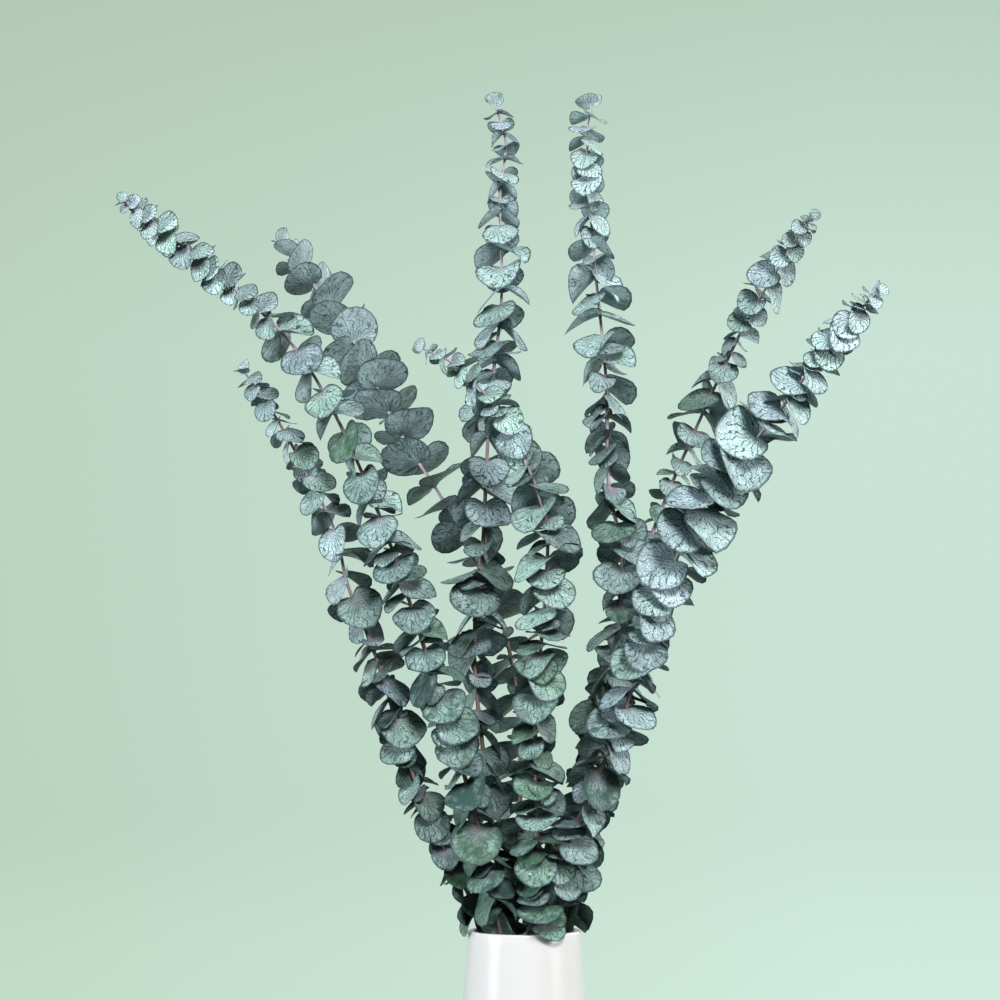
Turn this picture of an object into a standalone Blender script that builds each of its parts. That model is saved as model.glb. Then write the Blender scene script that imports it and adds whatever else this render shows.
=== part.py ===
"""A bunch of round-leaved eucalyptus branches standing in a white ceramic vase, at real size.

Each branch is one solid: a woody stem that bends along its own route, with the pairs of stalkless
round leaves that grow from it. The stems are spiralled in the vase as a florist does it and stand on
its floor. Metres, +Z up, origin in the middle of the vase's underside; -Y is the side that is looked at.
"""

import math
import random

import bmesh
import bpy
import numpy as np
from mathutils.bvhtree import BVHTree

MM = 0.001

# Vase: a plain cone of glazed ceramic, narrowing to the mouth
VASE_HEIGHT = 200 * MM
MOUTH_RADIUS = 39.5 * MM
FOOT_RADIUS = 53 * MM
WALL = 4.5 * MM
FLOOR = 7 * MM
LIP_ROUNDING = 1.6 * MM
FOOT_ROUNDING = 4 * MM
VASE_SIDES = 32

# Stems
STEM_RADIUS_CUT_END = 2.1 * MM
STEM_RADIUS_TIP = 0.8 * MM
STEM_POINTS = 14
STEM_SIDES = 4
SPIRAL_TURN = math.radians(120)
SPIRAL_SPREAD = 0.8
SEAT_GAP = 0.3 * MM

# How far from the stem's axis a leaf's root lies, as a share of the stem's radius
ROOT_DEPTH = 0.4

# Faces of a finished branch that turn by less than this are one flat face
FLAT_ANGLE = math.radians(0.3)

# Leaves
BLADE_THICKNESS = 0.66 * MM
# From the root, a leaf reaches forward and back by these shares of its width
FORWARD = 0.74
BACK = 0.17
LOWEST_NODE = 10 * MM
LARGE_LEAF = 24 * MM
SMALL_LEAF = 12 * MM
# Of this many leaves, counted from the tip, these are left out
LEAF_COUNT = 7
LEFT_OUT = (2, 5)
TIP_RISE = 55

# Room kept round a blade while it is placed, as (size, half thickness): to other branches, to its own
ROOM_TO_OTHERS = (1.03, 0.75 * MM)
ROOM_TO_OWN = (1.0, 0.36 * MM)

# The routes are drawn as they look from the front, from this far away, with the eye at this place
EYE_DISTANCE = 3200 * MM
EYE_SIDE = -17 * MM
EYE_ABOVE_MOUTH = 301 * MM

LEAF_COLOUR = (0.23, 0.32, 0.31, 1)
CERAMIC_COLOUR = (0.86, 0.86, 0.87, 1)

# One entry per branch, in millimetres and degrees. route: tip first, (right of the vase's middle, towards
# the back, above the mouth). widths: leaf width at each distance down the stem from the tip. spacing: how
# far apart the pairs are there, against the usual. turn: how far the first pair is turned from facing the
# front. twist: how far each pair turns beyond a quarter circle. rise: how far the leaves reach up along the
# stem at each distance, and below nothing they hang. tipped: how far the plane that the leaves lie round
# is tipped to the front.
BRANCHES = {
    "branch_far_left": {
        "route": [(-281, -110, 511), (-218, -95, 461), (-167, -82, 415), (-134, -74, 364),
                  (-99, -64, 284), (-67, -52, 188), (-34, -38, 80), (-16.5, -22.5, 0)],
        "widths": [(0, 9), (12, 17), (40, 20), (90, 20), (110, 17), (130, 30), (330, 31), (480, 34),
                   (620, 31)],
        "spacing": [(0, 0.72), (105, 0.8), (135, 1.25), (400, 1.15), (620, 1.0)], "turn": -45,
        "twist": 1.0, "rise": [(0, 10), (12, -12), (95, -16), (130, -36), (620, -40)],
        "tipped": [(0, 30), (95, 26), (130, 4)], "seed": 11,
    },
    "branch_left_low": {
        "route": [(-197, -52, 392), (-171, -46, 354), (-135, -39, 285), (-123, -35, 240),
                  (-102, -30, 186), (-80, -24, 115), (-53, -14, 52), (-27.5, -3.5, 0)],
        "widths": [(0, 12), (20, 17), (60, 21), (85, 25), (130, 30), (260, 32), (300, 26), (360, 24),
                   (430, 27)],
        "spacing": [(0, 0.85), (80, 0.95), (110, 1.2), (300, 1.15), (430, 1.0)], "turn": -50,
        "twist": 0.0, "rise": [(0, 10), (12, -38), (430, -42)], "tipped": [(0, 4)], "seed": 23,
    },
    "branch_centre_curved": {
        "route": [(-73, -62, 408), (-43, -60, 392), (-15, -58, 358), (0, -58, 330), (15, -60, 287),
                  (15, -60, 240), (8, -56, 150), (9, -47, 85), (12, -25.5, 0)],
        "widths": [(0, 10), (25, 17), (60, 23), (85, 29), (110, 33), (170, 36), (230, 33), (340, 28),
                   (520, 31)],
        "spacing": [(0, 0.8), (70, 0.9), (110, 1.1), (400, 1.05), (520, 0.95)], "turn": 20,
        "twist": 2.0, "rise": [(0, 10), (12, -32), (520, -38)], "tipped": [(0, 0)], "seed": 37,
    },
    "branch_far_right": {
        "route": [(248, -190, 448), (216, -170, 413), (176, -146, 360), (144, -126, 322), (116, -106, 280),
                  (90, -84, 218), (69, -64, 150), (44, -47, 91), (26, -31, 52), (10, -8, 0)],
        "widths": [(0, 10), (13, 18), (32, 22), (60, 26), (107, 32), (140, 40), (225, 39), (262, 33),
                   (520, 31)],
        "spacing": [(0, 0.85), (250, 0.82), (400, 0.95)], "turn": -45, "twist": 0.0,
        "rise": [(0, 10), (12, -16), (120, -20), (600, -32)], "tipped": [(0, -4)], "seed": 41,
    },
    "branch_centre_tall": {
        "route": [(-21, 52, 580), (-13, 48, 550), (-17, 42, 512), (-16, 32, 441), (-24, 24, 367),
                  (-29, 18, 272), (-35, 16, 196), (-27, 12, 110), (-13, 8, 0)],
        "widths": [(0, 12), (15, 18), (50, 21), (80, 24), (97, 30), (140, 33), (220, 32), (280, 37),
                   (330, 38), (400, 32), (560, 31)],
        "spacing": [(0, 1.0), (400, 1.0), (560, 0.95)], "turn": 4, "twist": 0.0,
        "rise": [(0, 10), (12, -38), (560, -42)], "tipped": [(0, 2)], "seed": 53,
    },
    "branch_right_tall": {
        "route": [(47, 28, 578), (44, 26, 549), (49, 18, 470), (57, 12, 388), (59, 10, 314),
                  (69, 10, 258), (63, 12, 196), (50, 12, 130), (38, 10, 60), (27.5, 3.5, 0)],
        "widths": [(0, 17), (20, 20), (90, 23), (115, 30), (160, 37), (200, 33), (230, 26), (260, 31),
                   (290, 36), (440, 32), (600, 30)],
        "spacing": [(0, 0.92), (400, 1.0), (600, 0.95)], "turn": -40, "twist": 1.0,
        "rise": [(0, 5), (12, -36), (600, -40)], "tipped": [(0, 2)], "seed": 67,
    },
    "branch_right_back": {
        "route": [(202, -22, 500), (185, 8, 475), (153, 48, 421), (117, 70, 344), (92, 78, 284),
                  (73, 76, 224), (58, 66, 150), (46, 50, 80), (17.5, 22, 0)],
        "widths": [(0, 9), (15, 13), (45, 17), (55, 26), (80, 30), (95, 18), (135, 18), (150, 27),
                   (165, 37), (190, 33), (215, 18), (270, 19), (300, 31), (600, 30)],
        "spacing": [(0, 1.0), (600, 1.0)], "turn": -45, "twist": 2.0,
        "rise": [(0, 10), (12, -20), (160, -28), (600, -38)], "tipped": [(0, 0)], "seed": 79,
    },
    "branch_left_back": {
        "route": [(-169, 224, 482), (-146, 206, 450), (-122, 184, 417), (-88, 146, 350), (-53, 112, 294),
                  (-19, 90, 224), (-5, 72, 160), (-3, 54, 70), (-5.5, 27.5, 0)],
        "widths": [(0, 14), (20, 25), (40, 35), (200, 38), (300, 34), (420, 31), (560, 30)],
        "spacing": [(0, 1.4), (220, 1.35), (300, 1.15), (560, 1.0)], "turn": 52, "twist": 0.0,
        "rise": [(0, 22), (220, 14), (300, -16), (560, -34)], "tipped": [(0, -8)], "seed": 83,
    },
}

# The leaf that hangs over the lip of the vase, on the left
LIP_LEAF = {"branch": "branch_left_low", "above_mouth": 13 * MM, "turn": -80, "rise": -46, "width": 26 * MM}


def clear_scene():
    """Remove what the scene starts with."""
    for obj in list(bpy.data.objects):
        bpy.data.objects.remove(obj, do_unlink=True)


def make_material(name, colour, roughness):
    """A plain surface finish for one kind of piece."""
    material = bpy.data.materials.new(name)
    material.use_nodes = True
    shader = material.node_tree.nodes["Principled BSDF"]
    shader.inputs["Base Color"].default_value = colour
    shader.inputs["Roughness"].default_value = roughness
    return material


# Routes and directions


def real_place(point):
    """Where a point of a route really is: what stands nearer the eye looks larger, so it is drawn in."""
    side, back, above = (value * MM for value in point)
    scale = 1 + back / EYE_DISTANCE
    x = EYE_SIDE + (side - EYE_SIDE) * scale
    z = EYE_ABOVE_MOUTH + (above - EYE_ABOVE_MOUTH) * scale
    return np.array([x, back, VASE_HEIGHT + z])


def foot_place(mouth):
    """Where a stem stands on the vase's floor: the place in the mouth, turned about the axis.

    All stems turn by the same angle, so between floor and mouth they pass without touching.
    """
    cos, sin = math.cos(SPIRAL_TURN), math.sin(SPIRAL_TURN)
    x, y = mouth[0], mouth[1]
    return np.array([SPIRAL_SPREAD * (cos * x - sin * y), SPIRAL_SPREAD * (sin * x + cos * y), FLOOR])


def unit(vector):
    return vector / np.linalg.norm(vector)


def square_to(grow):
    """The two directions square to a direction of growth: to the front and to the right."""
    front = unit(np.array([0, -1, 0]) + grow * grow[1])
    return front, np.cross(grow, front)


def smooth_path(points, per_span=24):
    """A Catmull-Rom curve: it passes through each point, in the direction from the last to the next."""
    points = np.array(points)
    ends = 2 * points[[0, -1]] - points[[1, -2]]
    padded = np.vstack([ends[:1], points, ends[1:]])
    t = np.linspace(0, 1, per_span, endpoint=False)[:, None]
    spans = []
    for a, b, c, d in zip(padded, padded[1:], padded[2:], padded[3:]):
        spans.append(
            b + 0.5 * t * (c - a + t * (2 * a - 5 * b + 4 * c - d + t * (3 * (b - c) + d - a)))
        )
    return np.vstack(spans + [points[-1:]])


class Stem:
    """The line that a branch follows, from its tip to its cut end, measured by distance from the tip."""

    def __init__(self, route, turn):
        seen = [real_place(point) for point in route]
        mouth = np.array([route[-1][0] * MM, route[-1][1] * MM, VASE_HEIGHT])
        self.front, self.right = square_to(unit(seen[0] - mouth))
        self.corners = turn + (np.arange(STEM_SIDES) + 0.5) * 2 * math.pi / STEM_SIDES
        cut_end = self.section(foot_place(mouth), STEM_RADIUS_CUT_END)
        foot = foot_place(mouth) + [0, 0, FLOOR + SEAT_GAP - cut_end[:, 2].min()]
        inside = [mouth + (foot - mouth) * share for share in (0, 0.35, 0.7, 1)]
        self.measure(smooth_path(seen[:-1] + inside))
        # The stem is made of a few straight lengths, and the leaves sit on those.
        self.measure(np.array([self.at(d) for d in np.linspace(0, self.length, STEM_POINTS)]))

    def section(self, place, radius):
        """Corners of the stem round this place. All sections lie alike, so each flat of the stem is flat."""
        angles = self.corners[:, None]
        return place + radius * (np.cos(angles) * self.front + np.sin(angles) * self.right)

    def measure(self, path):
        """Take this line as the path, with the distance from the tip at each of its points."""
        self.path = path
        steps = np.linalg.norm(np.diff(path, axis=0), axis=1)
        self.run = np.concatenate([[0], np.cumsum(steps)])
        self.length = self.run[-1]

    def at(self, distance):
        return np.array([np.interp(distance, self.run, self.path[:, axis]) for axis in range(3)])

    def upwards(self, distance):
        """The direction of growth there."""
        step = self.at(max(distance - 2 * MM, 0)) - self.at(min(distance + 2 * MM, self.length))
        return step / np.linalg.norm(step)

    def radius(self, distance):
        share = distance / self.length
        return STEM_RADIUS_TIP + (STEM_RADIUS_CUT_END - STEM_RADIUS_TIP) * share**0.75

    def distance_at_height(self, z):
        return float(np.interp(-z, -self.path[:, 2], self.run))


# Leaves


def leaf_axes(stem, leaf):
    """Root, and the directions along the leaf, across it and out of its upper face."""
    grow = stem.upwards(leaf["distance"])
    grow = math.cos(leaf["tipped"]) * grow + math.sin(leaf["tipped"]) * square_to(grow)[0]
    front, right = square_to(grow)
    outward = math.cos(leaf["turn"]) * front + math.sin(leaf["turn"]) * right
    along = math.cos(leaf["rise"]) * outward + math.sin(leaf["rise"]) * grow
    upper = math.cos(leaf["rise"]) * grow - math.sin(leaf["rise"]) * outward
    across = np.cross(along, upper)
    across, upper = (
        math.cos(leaf["roll"]) * across + math.sin(leaf["roll"]) * upper,
        math.cos(leaf["roll"]) * upper - math.sin(leaf["roll"]) * across,
    )
    root = stem.at(leaf["distance"]) + outward * stem.radius(leaf["distance"]) * ROOT_DEPTH
    return root, along, across, upper


def outline(angle):
    """Edge of the round leaf as (across, along) in widths; the angle runs round it from its back edge.

    It is an ellipse that reaches behind the root, as the two lobes of a real leaf do.
    """
    return np.sin(angle) / 2, (FORWARD - BACK) / 2 - (FORWARD + BACK) / 2 * np.cos(angle)


def edge_angles(width):
    """Corners on one side of the blade, and whether it has one at its end. Larger leaves have more."""
    if width > LARGE_LEAF:
        return np.radians([62, 121]), True
    if width > SMALL_LEAF:
        return np.radians([72, 146]), False
    return np.radians([88]), True


def blade_corners(leaf, axes, growth=1.0):
    """Corners of the blade in order round its edge, from the root. Fewer corners need a larger outline.

    The blade is dished across its midrib and curls along it, so the corners are lifted by the square of
    the way across and of the way along.
    """
    angles, has_end = edge_angles(leaf["width"])
    across, along = outline(angles)
    across, along = across * growth * 1.05, along * growth
    end = [FORWARD * growth] if has_end else []
    side = np.concatenate([[0], across, np.zeros(len(end)), -across[::-1]])
    reach = np.concatenate([[0], along, end, along[::-1]])
    root, along_axis, across_axis, upper_axis = axes
    height = leaf["cup"] * side**2 + leaf["curl"] * reach**2
    return root + leaf["width"] * (
        np.multiply.outer(reach, along_axis)
        + np.multiply.outer(side, across_axis)
        + np.multiply.outer(height, upper_axis)
    )


def blade_faces(corners):
    """Triangles from edge to edge across the blade. One of them holds the root, which is corner 0."""
    left, right = 1, corners - 1
    faces = [(0, left, right)]
    while right - left > 1:
        faces.append((left, left + 1, right))
        left += 1
        if right - left > 1:
            faces.append((left, right - 1, right))
            right -= 1
    return faces


def thick_blade(stem, leaf, axes, room):
    """The blade with room round it, as a search tree, and its corners.

    The root sits in its own stem, so that corner is cut off by 1.2 times the stem's radius.
    """
    growth, half_thickness = room
    points = blade_corners(leaf, axes, growth)
    beside = points[[1, -1]] - points[0]
    cut = 1.2 * stem.radius(leaf["distance"]) / np.linalg.norm(beside[0])
    points = np.vstack([points[0] + beside[0] * cut, points[1:], points[0] + beside[1] * cut])
    count = len(points)
    flat = blade_faces(count)
    faces = flat + [tuple(i + count for i in face) for face in flat]
    faces += [(i, (i + 1) % count, (i + 1) % count + count, i + count) for i in range(count)]
    both_sides = np.vstack([points + axes[3] * half_thickness, points - axes[3] * half_thickness])
    return BVHTree.FromPolygons(both_sides.tolist(), faces), points


# Growth: the rule that places the leaves, and turns each one clear of what is already there


def tries():
    """Changes to a leaf that doesn't fit, the smallest first: (turn, rise, size)."""
    found = []
    for size in (1, 0.9, 0.8, 0.7, 0.6):
        for rise in (0, 12, -12, 24, -24, 38, -38):
            for turn in (0, 12, -12, 24, -24, 36, -36):
                effort = abs(turn) / 12 + abs(rise) / 12 + (1 - size) * 30
                found.append((effort, math.radians(turn), math.radians(rise), size))
    return [change[1:] for change in sorted(found)]


TRIES = tries()


def turned_profile():
    """Outer and inner side of the vase as (radius, height), from the middle of the underside up and in."""
    lean = (FOOT_RADIUS - MOUTH_RADIUS) / VASE_HEIGHT
    foot = FOOT_ROUNDING
    lip = LIP_ROUNDING
    inner_foot = FOOT_RADIUS - WALL - lean * FLOOR
    return [
        (0, 0),
        (FOOT_RADIUS - foot, 0),
        (FOOT_RADIUS - foot * 0.3, foot * 0.3),
        (FOOT_RADIUS - lean * foot, foot),
        (MOUTH_RADIUS + lean * lip, VASE_HEIGHT - lip),
        (MOUTH_RADIUS - lip * 0.6, VASE_HEIGHT),
        (MOUTH_RADIUS - WALL + lip * 0.6, VASE_HEIGHT),
        (MOUTH_RADIUS - WALL + lean * lip, VASE_HEIGHT - lip),
        (inner_foot, FLOOR + foot),
        (inner_foot - foot, FLOOR),
        (0, FLOOR),
    ]


def vase_tree():
    """The vase's surface, for testing leaves against."""
    angles = np.linspace(0, 2 * math.pi, VASE_SIDES, endpoint=False)
    profile = turned_profile()
    rings = [
        np.stack([r * np.cos(angles), r * np.sin(angles), np.full(VASE_SIDES, z)], axis=1)
        for r, z in profile
    ]
    faces = []
    for ring in range(len(profile) - 1):
        for i in range(VASE_SIDES):
            j = (i + 1) % VASE_SIDES
            start = ring * VASE_SIDES
            faces.append((start + i, start + j, start + j + VASE_SIDES, start + i + VASE_SIDES))
    return BVHTree.FromPolygons(np.vstack(rings).tolist(), faces)


def stem_tree(stem, sides=6, rings=40):
    """The stem's surface with room round it, for testing the leaves of other branches against."""
    angles = np.linspace(0, 2 * math.pi, sides, endpoint=False)[:, None]
    points, faces = [], []
    for distance in np.linspace(0, stem.length, rings):
        front, right = square_to(stem.upwards(distance))
        radius = stem.radius(distance) * 1.05 + 0.6 * MM
        points.append(stem.at(distance) + radius * (np.cos(angles) * front + np.sin(angles) * right))
    for ring in range(rings - 1):
        for i in range(sides):
            j = (i + 1) % sides
            start = ring * sides
            faces.append((start + i, start + j, start + j + sides, start + i + sides))
    return BVHTree.FromPolygons(np.vstack(points).tolist(), faces)


def wanted_leaves(name, stem):
    """The leaves that a branch would have with nothing in its way, from the tip down.

    They grow in pairs, each pair a quarter turn from the last. Two leaves in seven are left out to keep
    the solid light, which falls on each of the four sides in turn.
    """
    branch = BRANCHES[name]
    draw = random.Random(branch["seed"])
    width_marks, widths = zip(*branch["widths"])
    rise_marks, rises = zip(*branch["rise"])
    tipped_marks, tips = zip(*branch["tipped"])
    spacing_marks, spacings = zip(*branch["spacing"])
    lowest = stem.distance_at_height(VASE_HEIGHT + LOWEST_NODE)
    distance, turn = 1.5 * MM, branch["turn"]
    leaves = []
    while distance < lowest:
        width = float(np.interp(distance / MM, width_marks, widths)) * MM
        rise = math.radians(float(np.interp(distance / MM, rise_marks, rises)))
        tipped = math.radians(float(np.interp(distance / MM, tipped_marks, tips)))
        if not leaves:
            rise = math.radians(TIP_RISE)
        for opposite in (0, math.pi):
            leaves.append(
                {
                    "distance": distance + draw.uniform(-0.4, 0.4) * MM,
                    "turn": math.radians(turn + draw.gauss(0, 9)) + opposite,
                    "rise": rise + math.radians(draw.gauss(0, 11)),
                    "roll": math.radians(draw.gauss(0, 13)),
                    "width": width * draw.uniform(0.88, 1.1),
                    "cup": draw.uniform(0.0, 0.55),
                    "curl": draw.uniform(-0.35, 0.15),
                    "tipped": tipped,
                }
            )
        spacing = float(np.interp(distance / MM, spacing_marks, spacings))
        distance += spacing * (2.2 * MM + 0.37 * width) * draw.uniform(0.88, 1.12)
        turn += 90 + branch["twist"]
    return [leaf for index, leaf in enumerate(leaves) if index % LEAF_COUNT not in LEFT_OUT]


def lip_leaf(stem):
    """The leaf that droops over the vase's lip."""
    return {
        "distance": stem.distance_at_height(VASE_HEIGHT + LIP_LEAF["above_mouth"]),
        "turn": math.radians(LIP_LEAF["turn"]),
        "rise": math.radians(LIP_LEAF["rise"]),
        "roll": 0.0,
        "width": LIP_LEAF["width"],
        "cup": 0.3,
        "curl": -0.35,
        "tipped": 0.0,
    }


def changed(leaf, change):
    turn, rise, size = change
    return dict(leaf, turn=leaf["turn"] + turn, rise=leaf["rise"] + rise, width=leaf["width"] * size)


class Crowd:
    """Everything placed so far."""

    def __init__(self, stems):
        self.solids = {name: stem_tree(stem) for name, stem in stems.items()}
        self.solids["vase"] = vase_tree()
        self.middles = np.empty((0, 3))
        self.reaches = np.empty(0)
        self.blades = []

    def crossed(self, name, stem, leaf):
        """Names of the pieces that this leaf would cross, and what to store if it is kept."""
        axes = leaf_axes(stem, leaf)
        roomy, points = thick_blade(stem, leaf, axes, ROOM_TO_OTHERS)
        slim, _ = thick_blade(stem, leaf, axes, ROOM_TO_OWN)
        middle = points.mean(axis=0)
        reach = np.linalg.norm(points - middle, axis=1).max()
        hits = {other for other, solid in self.solids.items() if other != name and roomy.overlap(solid)}
        near = np.linalg.norm(self.middles - middle, axis=1) < self.reaches + reach
        for i in np.flatnonzero(near):
            owner, other_roomy, other_slim = self.blades[i]
            if owner in hits:
                continue
            crosses = slim.overlap(other_slim) if owner == name else roomy.overlap(other_roomy)
            if crosses:
                hits.add(owner)
        return hits, (middle, reach, roomy, slim)

    def keep(self, name, found):
        middle, reach, roomy, slim = found
        self.middles = np.vstack([self.middles, middle])
        self.reaches = np.append(self.reaches, reach)
        self.blades.append((name, roomy, slim))


def fitted(crowd, name, stem, leaf):
    """The leaf with the smallest change that clears everything, or else clears all but its own branch."""
    spare = None
    for change in TRIES:
        candidate = changed(leaf, change)
        hits, found = crowd.crossed(name, stem, candidate)
        if not hits:
            crowd.keep(name, found)
            return candidate
        if spare is None and hits == {name}:
            spare = candidate, found
    if spare is None:
        return None
    crowd.keep(name, spare[1])
    return spare[0]


def grow_all():
    """Every branch's stem and leaves. Leaves with no room, as between stems at the vase, are stripped."""
    stems = {
        name: Stem(branch["route"], math.radians(branch["turn"])) for name, branch in BRANCHES.items()
    }
    crowd = Crowd(stems)
    grown = {}
    for name, stem in stems.items():
        wanted = wanted_leaves(name, stem)
        if name == LIP_LEAF["branch"]:
            wanted.append(lip_leaf(stem))
        kept = [fitted(crowd, name, stem, leaf) for leaf in wanted]
        grown[name] = stem, [leaf for leaf in kept if leaf is not None]
        print(f"{name}: {len(grown[name][1])} of {len(wanted)} leaves")
    return grown


# Solids


def drawn_out(solid, end):
    """Extrude the end face of a solid, and give the new end face."""
    made = bmesh.ops.extrude_face_region(solid, geom=[end])["geom"]
    return next(item for item in made if isinstance(item, bmesh.types.BMFace))


def make_stem(name, stem, collection):
    """The woody stem: its cut end, drawn out along the route and narrowed towards the tip.

    It is squared, as young eucalyptus wood often is, and the leaves sit on its flats.
    """
    solid = bmesh.new()
    end = solid.faces.new([solid.verts.new() for side in range(STEM_SIDES)])
    for index, (place, distance) in enumerate(zip(stem.path[::-1], stem.run[::-1])):
        if index > 0:
            last, end = end, drawn_out(solid, end)
        if index > 1:
            solid.faces.remove(last)
        for vert, corner in zip(end.verts, stem.section(place, stem.radius(distance))):
            vert.co = corner
    bmesh.ops.recalc_face_normals(solid, faces=solid.faces)
    return make_object(name, solid, collection)


def make_blade(name, stem, leaf, collection):
    """One leaf: a cupped surface between its corners, thickened straight through."""
    axes = leaf_axes(stem, leaf)
    points = blade_corners(leaf, axes) - axes[3] * BLADE_THICKNESS / 2
    solid = bmesh.new()
    verts = [solid.verts.new(point) for point in points]
    faces = [solid.faces.new([verts[i] for i in face]) for face in blade_faces(len(points))]
    made = bmesh.ops.extrude_face_region(solid, geom=faces)["geom"]
    raised = [item for item in made if isinstance(item, bmesh.types.BMVert)]
    bmesh.ops.translate(solid, verts=raised, vec=axes[3] * BLADE_THICKNESS)
    bmesh.ops.recalc_face_normals(solid, faces=solid.faces)
    return make_object(name, solid, collection)


def make_object(name, solid, collection):
    """An object of this name, in this collection, that holds the mesh being edited."""
    mesh = bpy.data.meshes.new(name)
    solid.to_mesh(mesh)
    solid.free()
    made = bpy.data.objects.new(name, mesh)
    collection.objects.link(made)
    return made


def make_branch(name, stem, leaves, collection, material):
    """A stem with its leaves, joined in one body."""
    leafage = bpy.data.collections.new(name + "_leaves")
    bpy.context.scene.collection.children.link(leafage)
    for index, leaf in enumerate(leaves):
        make_blade(f"{name}_leaf_{index}", stem, leaf, leafage)
    branch = make_stem(name, stem, collection)
    union = branch.modifiers.new("leaves", "BOOLEAN")
    union.operation = "UNION"
    union.operand_type = "COLLECTION"
    union.collection = leafage
    union.solver = "EXACT"
    graph = bpy.context.evaluated_depsgraph_get()
    solid = bmesh.new()
    solid.from_object(branch, graph)
    # Corners that the union left in the middle of a straight edge or a flat face go.
    bmesh.ops.dissolve_limit(solid, angle_limit=FLAT_ANGLE, verts=solid.verts, edges=solid.edges)
    bmesh.ops.triangulate(solid, faces=solid.faces)
    branch.modifiers.clear()
    solid.to_mesh(branch.data)
    solid.free()
    for blade in list(leafage.objects):
        bpy.data.objects.remove(blade)
    bpy.data.collections.remove(leafage)
    branch.data.materials.append(material)
    return branch


def make_vase(collection, material):
    """The vase: one profile, up the outside and down the inside, turned about the axis."""
    profile = turned_profile()[::-1]
    mesh = bpy.data.meshes.new("vase")
    edges = [(i, i + 1) for i in range(len(profile) - 1)]
    mesh.from_pydata([(radius, 0, height) for radius, height in profile], edges, [])
    vase = bpy.data.objects.new("vase", mesh)
    collection.objects.link(vase)
    turn = vase.modifiers.new("turned", "SCREW")
    turn.steps = turn.render_steps = VASE_SIDES
    turn.use_merge_vertices = True
    turn.merge_threshold = 0.01 * MM
    turn.use_smooth_shade = True
    mesh.materials.append(material)
    return vase


def main():
    clear_scene()
    collection = bpy.data.collections.new("eucalyptus_in_vase")
    bpy.context.scene.collection.children.link(collection)
    leaf_finish = make_material("eucalyptus_leaf", LEAF_COLOUR, 0.62)
    ceramic = make_material("white_glazed_ceramic", CERAMIC_COLOUR, 0.2)
    make_vase(collection, ceramic)
    for name, (stem, leaves) in grow_all().items():
        make_branch(name, stem, leaves, collection, leaf_finish)


main()
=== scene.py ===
# %% [markdown]
# # Branches of round-leaved eucalyptus in a white vase
#
# Eight cut branches stand in a plain white vase. Each is a thin woody stem that carries its leaves
# in pairs, and every pair is turned a quarter circle from the last. The leaves have no stalk: two
# round blades clasp the stem and hang a little, like small saucers threaded on a wire. A frosty wax
# covers them, broken by a fine dark net of veins.
#
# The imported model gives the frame: every node's place, and the size that must not change. This
# lesson replaces its plain solids with finer surfaces in the same places, and gives them their
# finishes.

# %% Load the model and note its box
import math
import random

import bpy
import numpy as np
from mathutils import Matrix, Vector
from mathutils.bvhtree import BVHTree


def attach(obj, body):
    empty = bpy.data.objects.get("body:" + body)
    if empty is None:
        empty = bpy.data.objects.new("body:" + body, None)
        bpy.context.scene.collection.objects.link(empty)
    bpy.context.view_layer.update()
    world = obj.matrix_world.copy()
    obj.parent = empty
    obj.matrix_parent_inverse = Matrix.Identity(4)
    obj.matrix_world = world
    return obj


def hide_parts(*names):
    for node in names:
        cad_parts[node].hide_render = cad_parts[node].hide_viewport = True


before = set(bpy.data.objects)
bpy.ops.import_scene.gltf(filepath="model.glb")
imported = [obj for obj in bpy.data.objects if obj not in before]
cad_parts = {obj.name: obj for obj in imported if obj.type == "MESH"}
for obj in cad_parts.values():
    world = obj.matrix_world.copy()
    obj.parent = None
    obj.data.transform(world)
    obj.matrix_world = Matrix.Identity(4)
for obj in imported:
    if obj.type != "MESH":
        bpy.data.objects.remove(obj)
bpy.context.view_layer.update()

MM = 0.001
print("nodes:", ", ".join(sorted(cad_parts)))

# %% [markdown]
# ## Sizes
#
# The sizes of the vase, the stems and the blades are those of the model. They could be read back
# from its triangles, but a named value says what it is. Everything is in metres, with the vase's
# underside at height 0 and the viewer on the side of -Y.

# %% Sizes of the vase, the stems and the leaves
VASE_HEIGHT = 200 * MM
MOUTH_RADIUS = 39.5 * MM
FOOT_RADIUS = 53 * MM
WALL = 4.5 * MM
FLOOR = 7 * MM
LIP_ROUNDING = 1.6 * MM
FOOT_ROUNDING = 4 * MM
VASE_SIDES = 32

STEM_RADIUS_CUT_END = 2.1 * MM
STEM_RADIUS_TIP = 0.8 * MM
STEM_POINTS = 14
STEM_SIDES = 4
SPIRAL_TURN = math.radians(120)
SPIRAL_SPREAD = 0.8
SEAT_GAP = 0.3 * MM
ROOT_DEPTH = 0.4

BLADE_THICKNESS = 0.45 * MM
# From the root, a leaf reaches forward and back by these shares of its width
FORWARD = 0.74
BACK = 0.17
# In the solids a leaf has six corners above the first width, four up to the second, or else five
LARGE_LEAF = 24 * MM
SMALL_LEAF = 12 * MM
# The step between two pairs: this much, and this share of the leaf's width
SHORTEST_STEP = 2.2 * MM
STEP_PER_WIDTH = 0.37
HIGHEST_NODE = 1.5 * MM
LOWEST_NODE = 10 * MM
# Of this many leaves, counted from the tip, these are not in the solids
LEAF_COUNT = 7
LEFT_OUT = (2, 5)
TIP_RISE = 55
# Room kept round a blade while it is placed, as (size, half thickness): to other branches, to its
# own
ROOM_TO_OTHERS = (1.03, 0.75 * MM)
ROOM_TO_OWN = (1.0, 0.36 * MM)

# %% [markdown]
# ## The branches
#
# A bunch like this has no drawing to follow, so each branch is described the way a florist would:
# where its stem runs, how wide its leaves are on the way down, how close the pairs stand and how
# far they hang. The routes are given as they look from the front, and a rule brings each point back
# to its real place, because what stands nearer to the eye looks larger.

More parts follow.
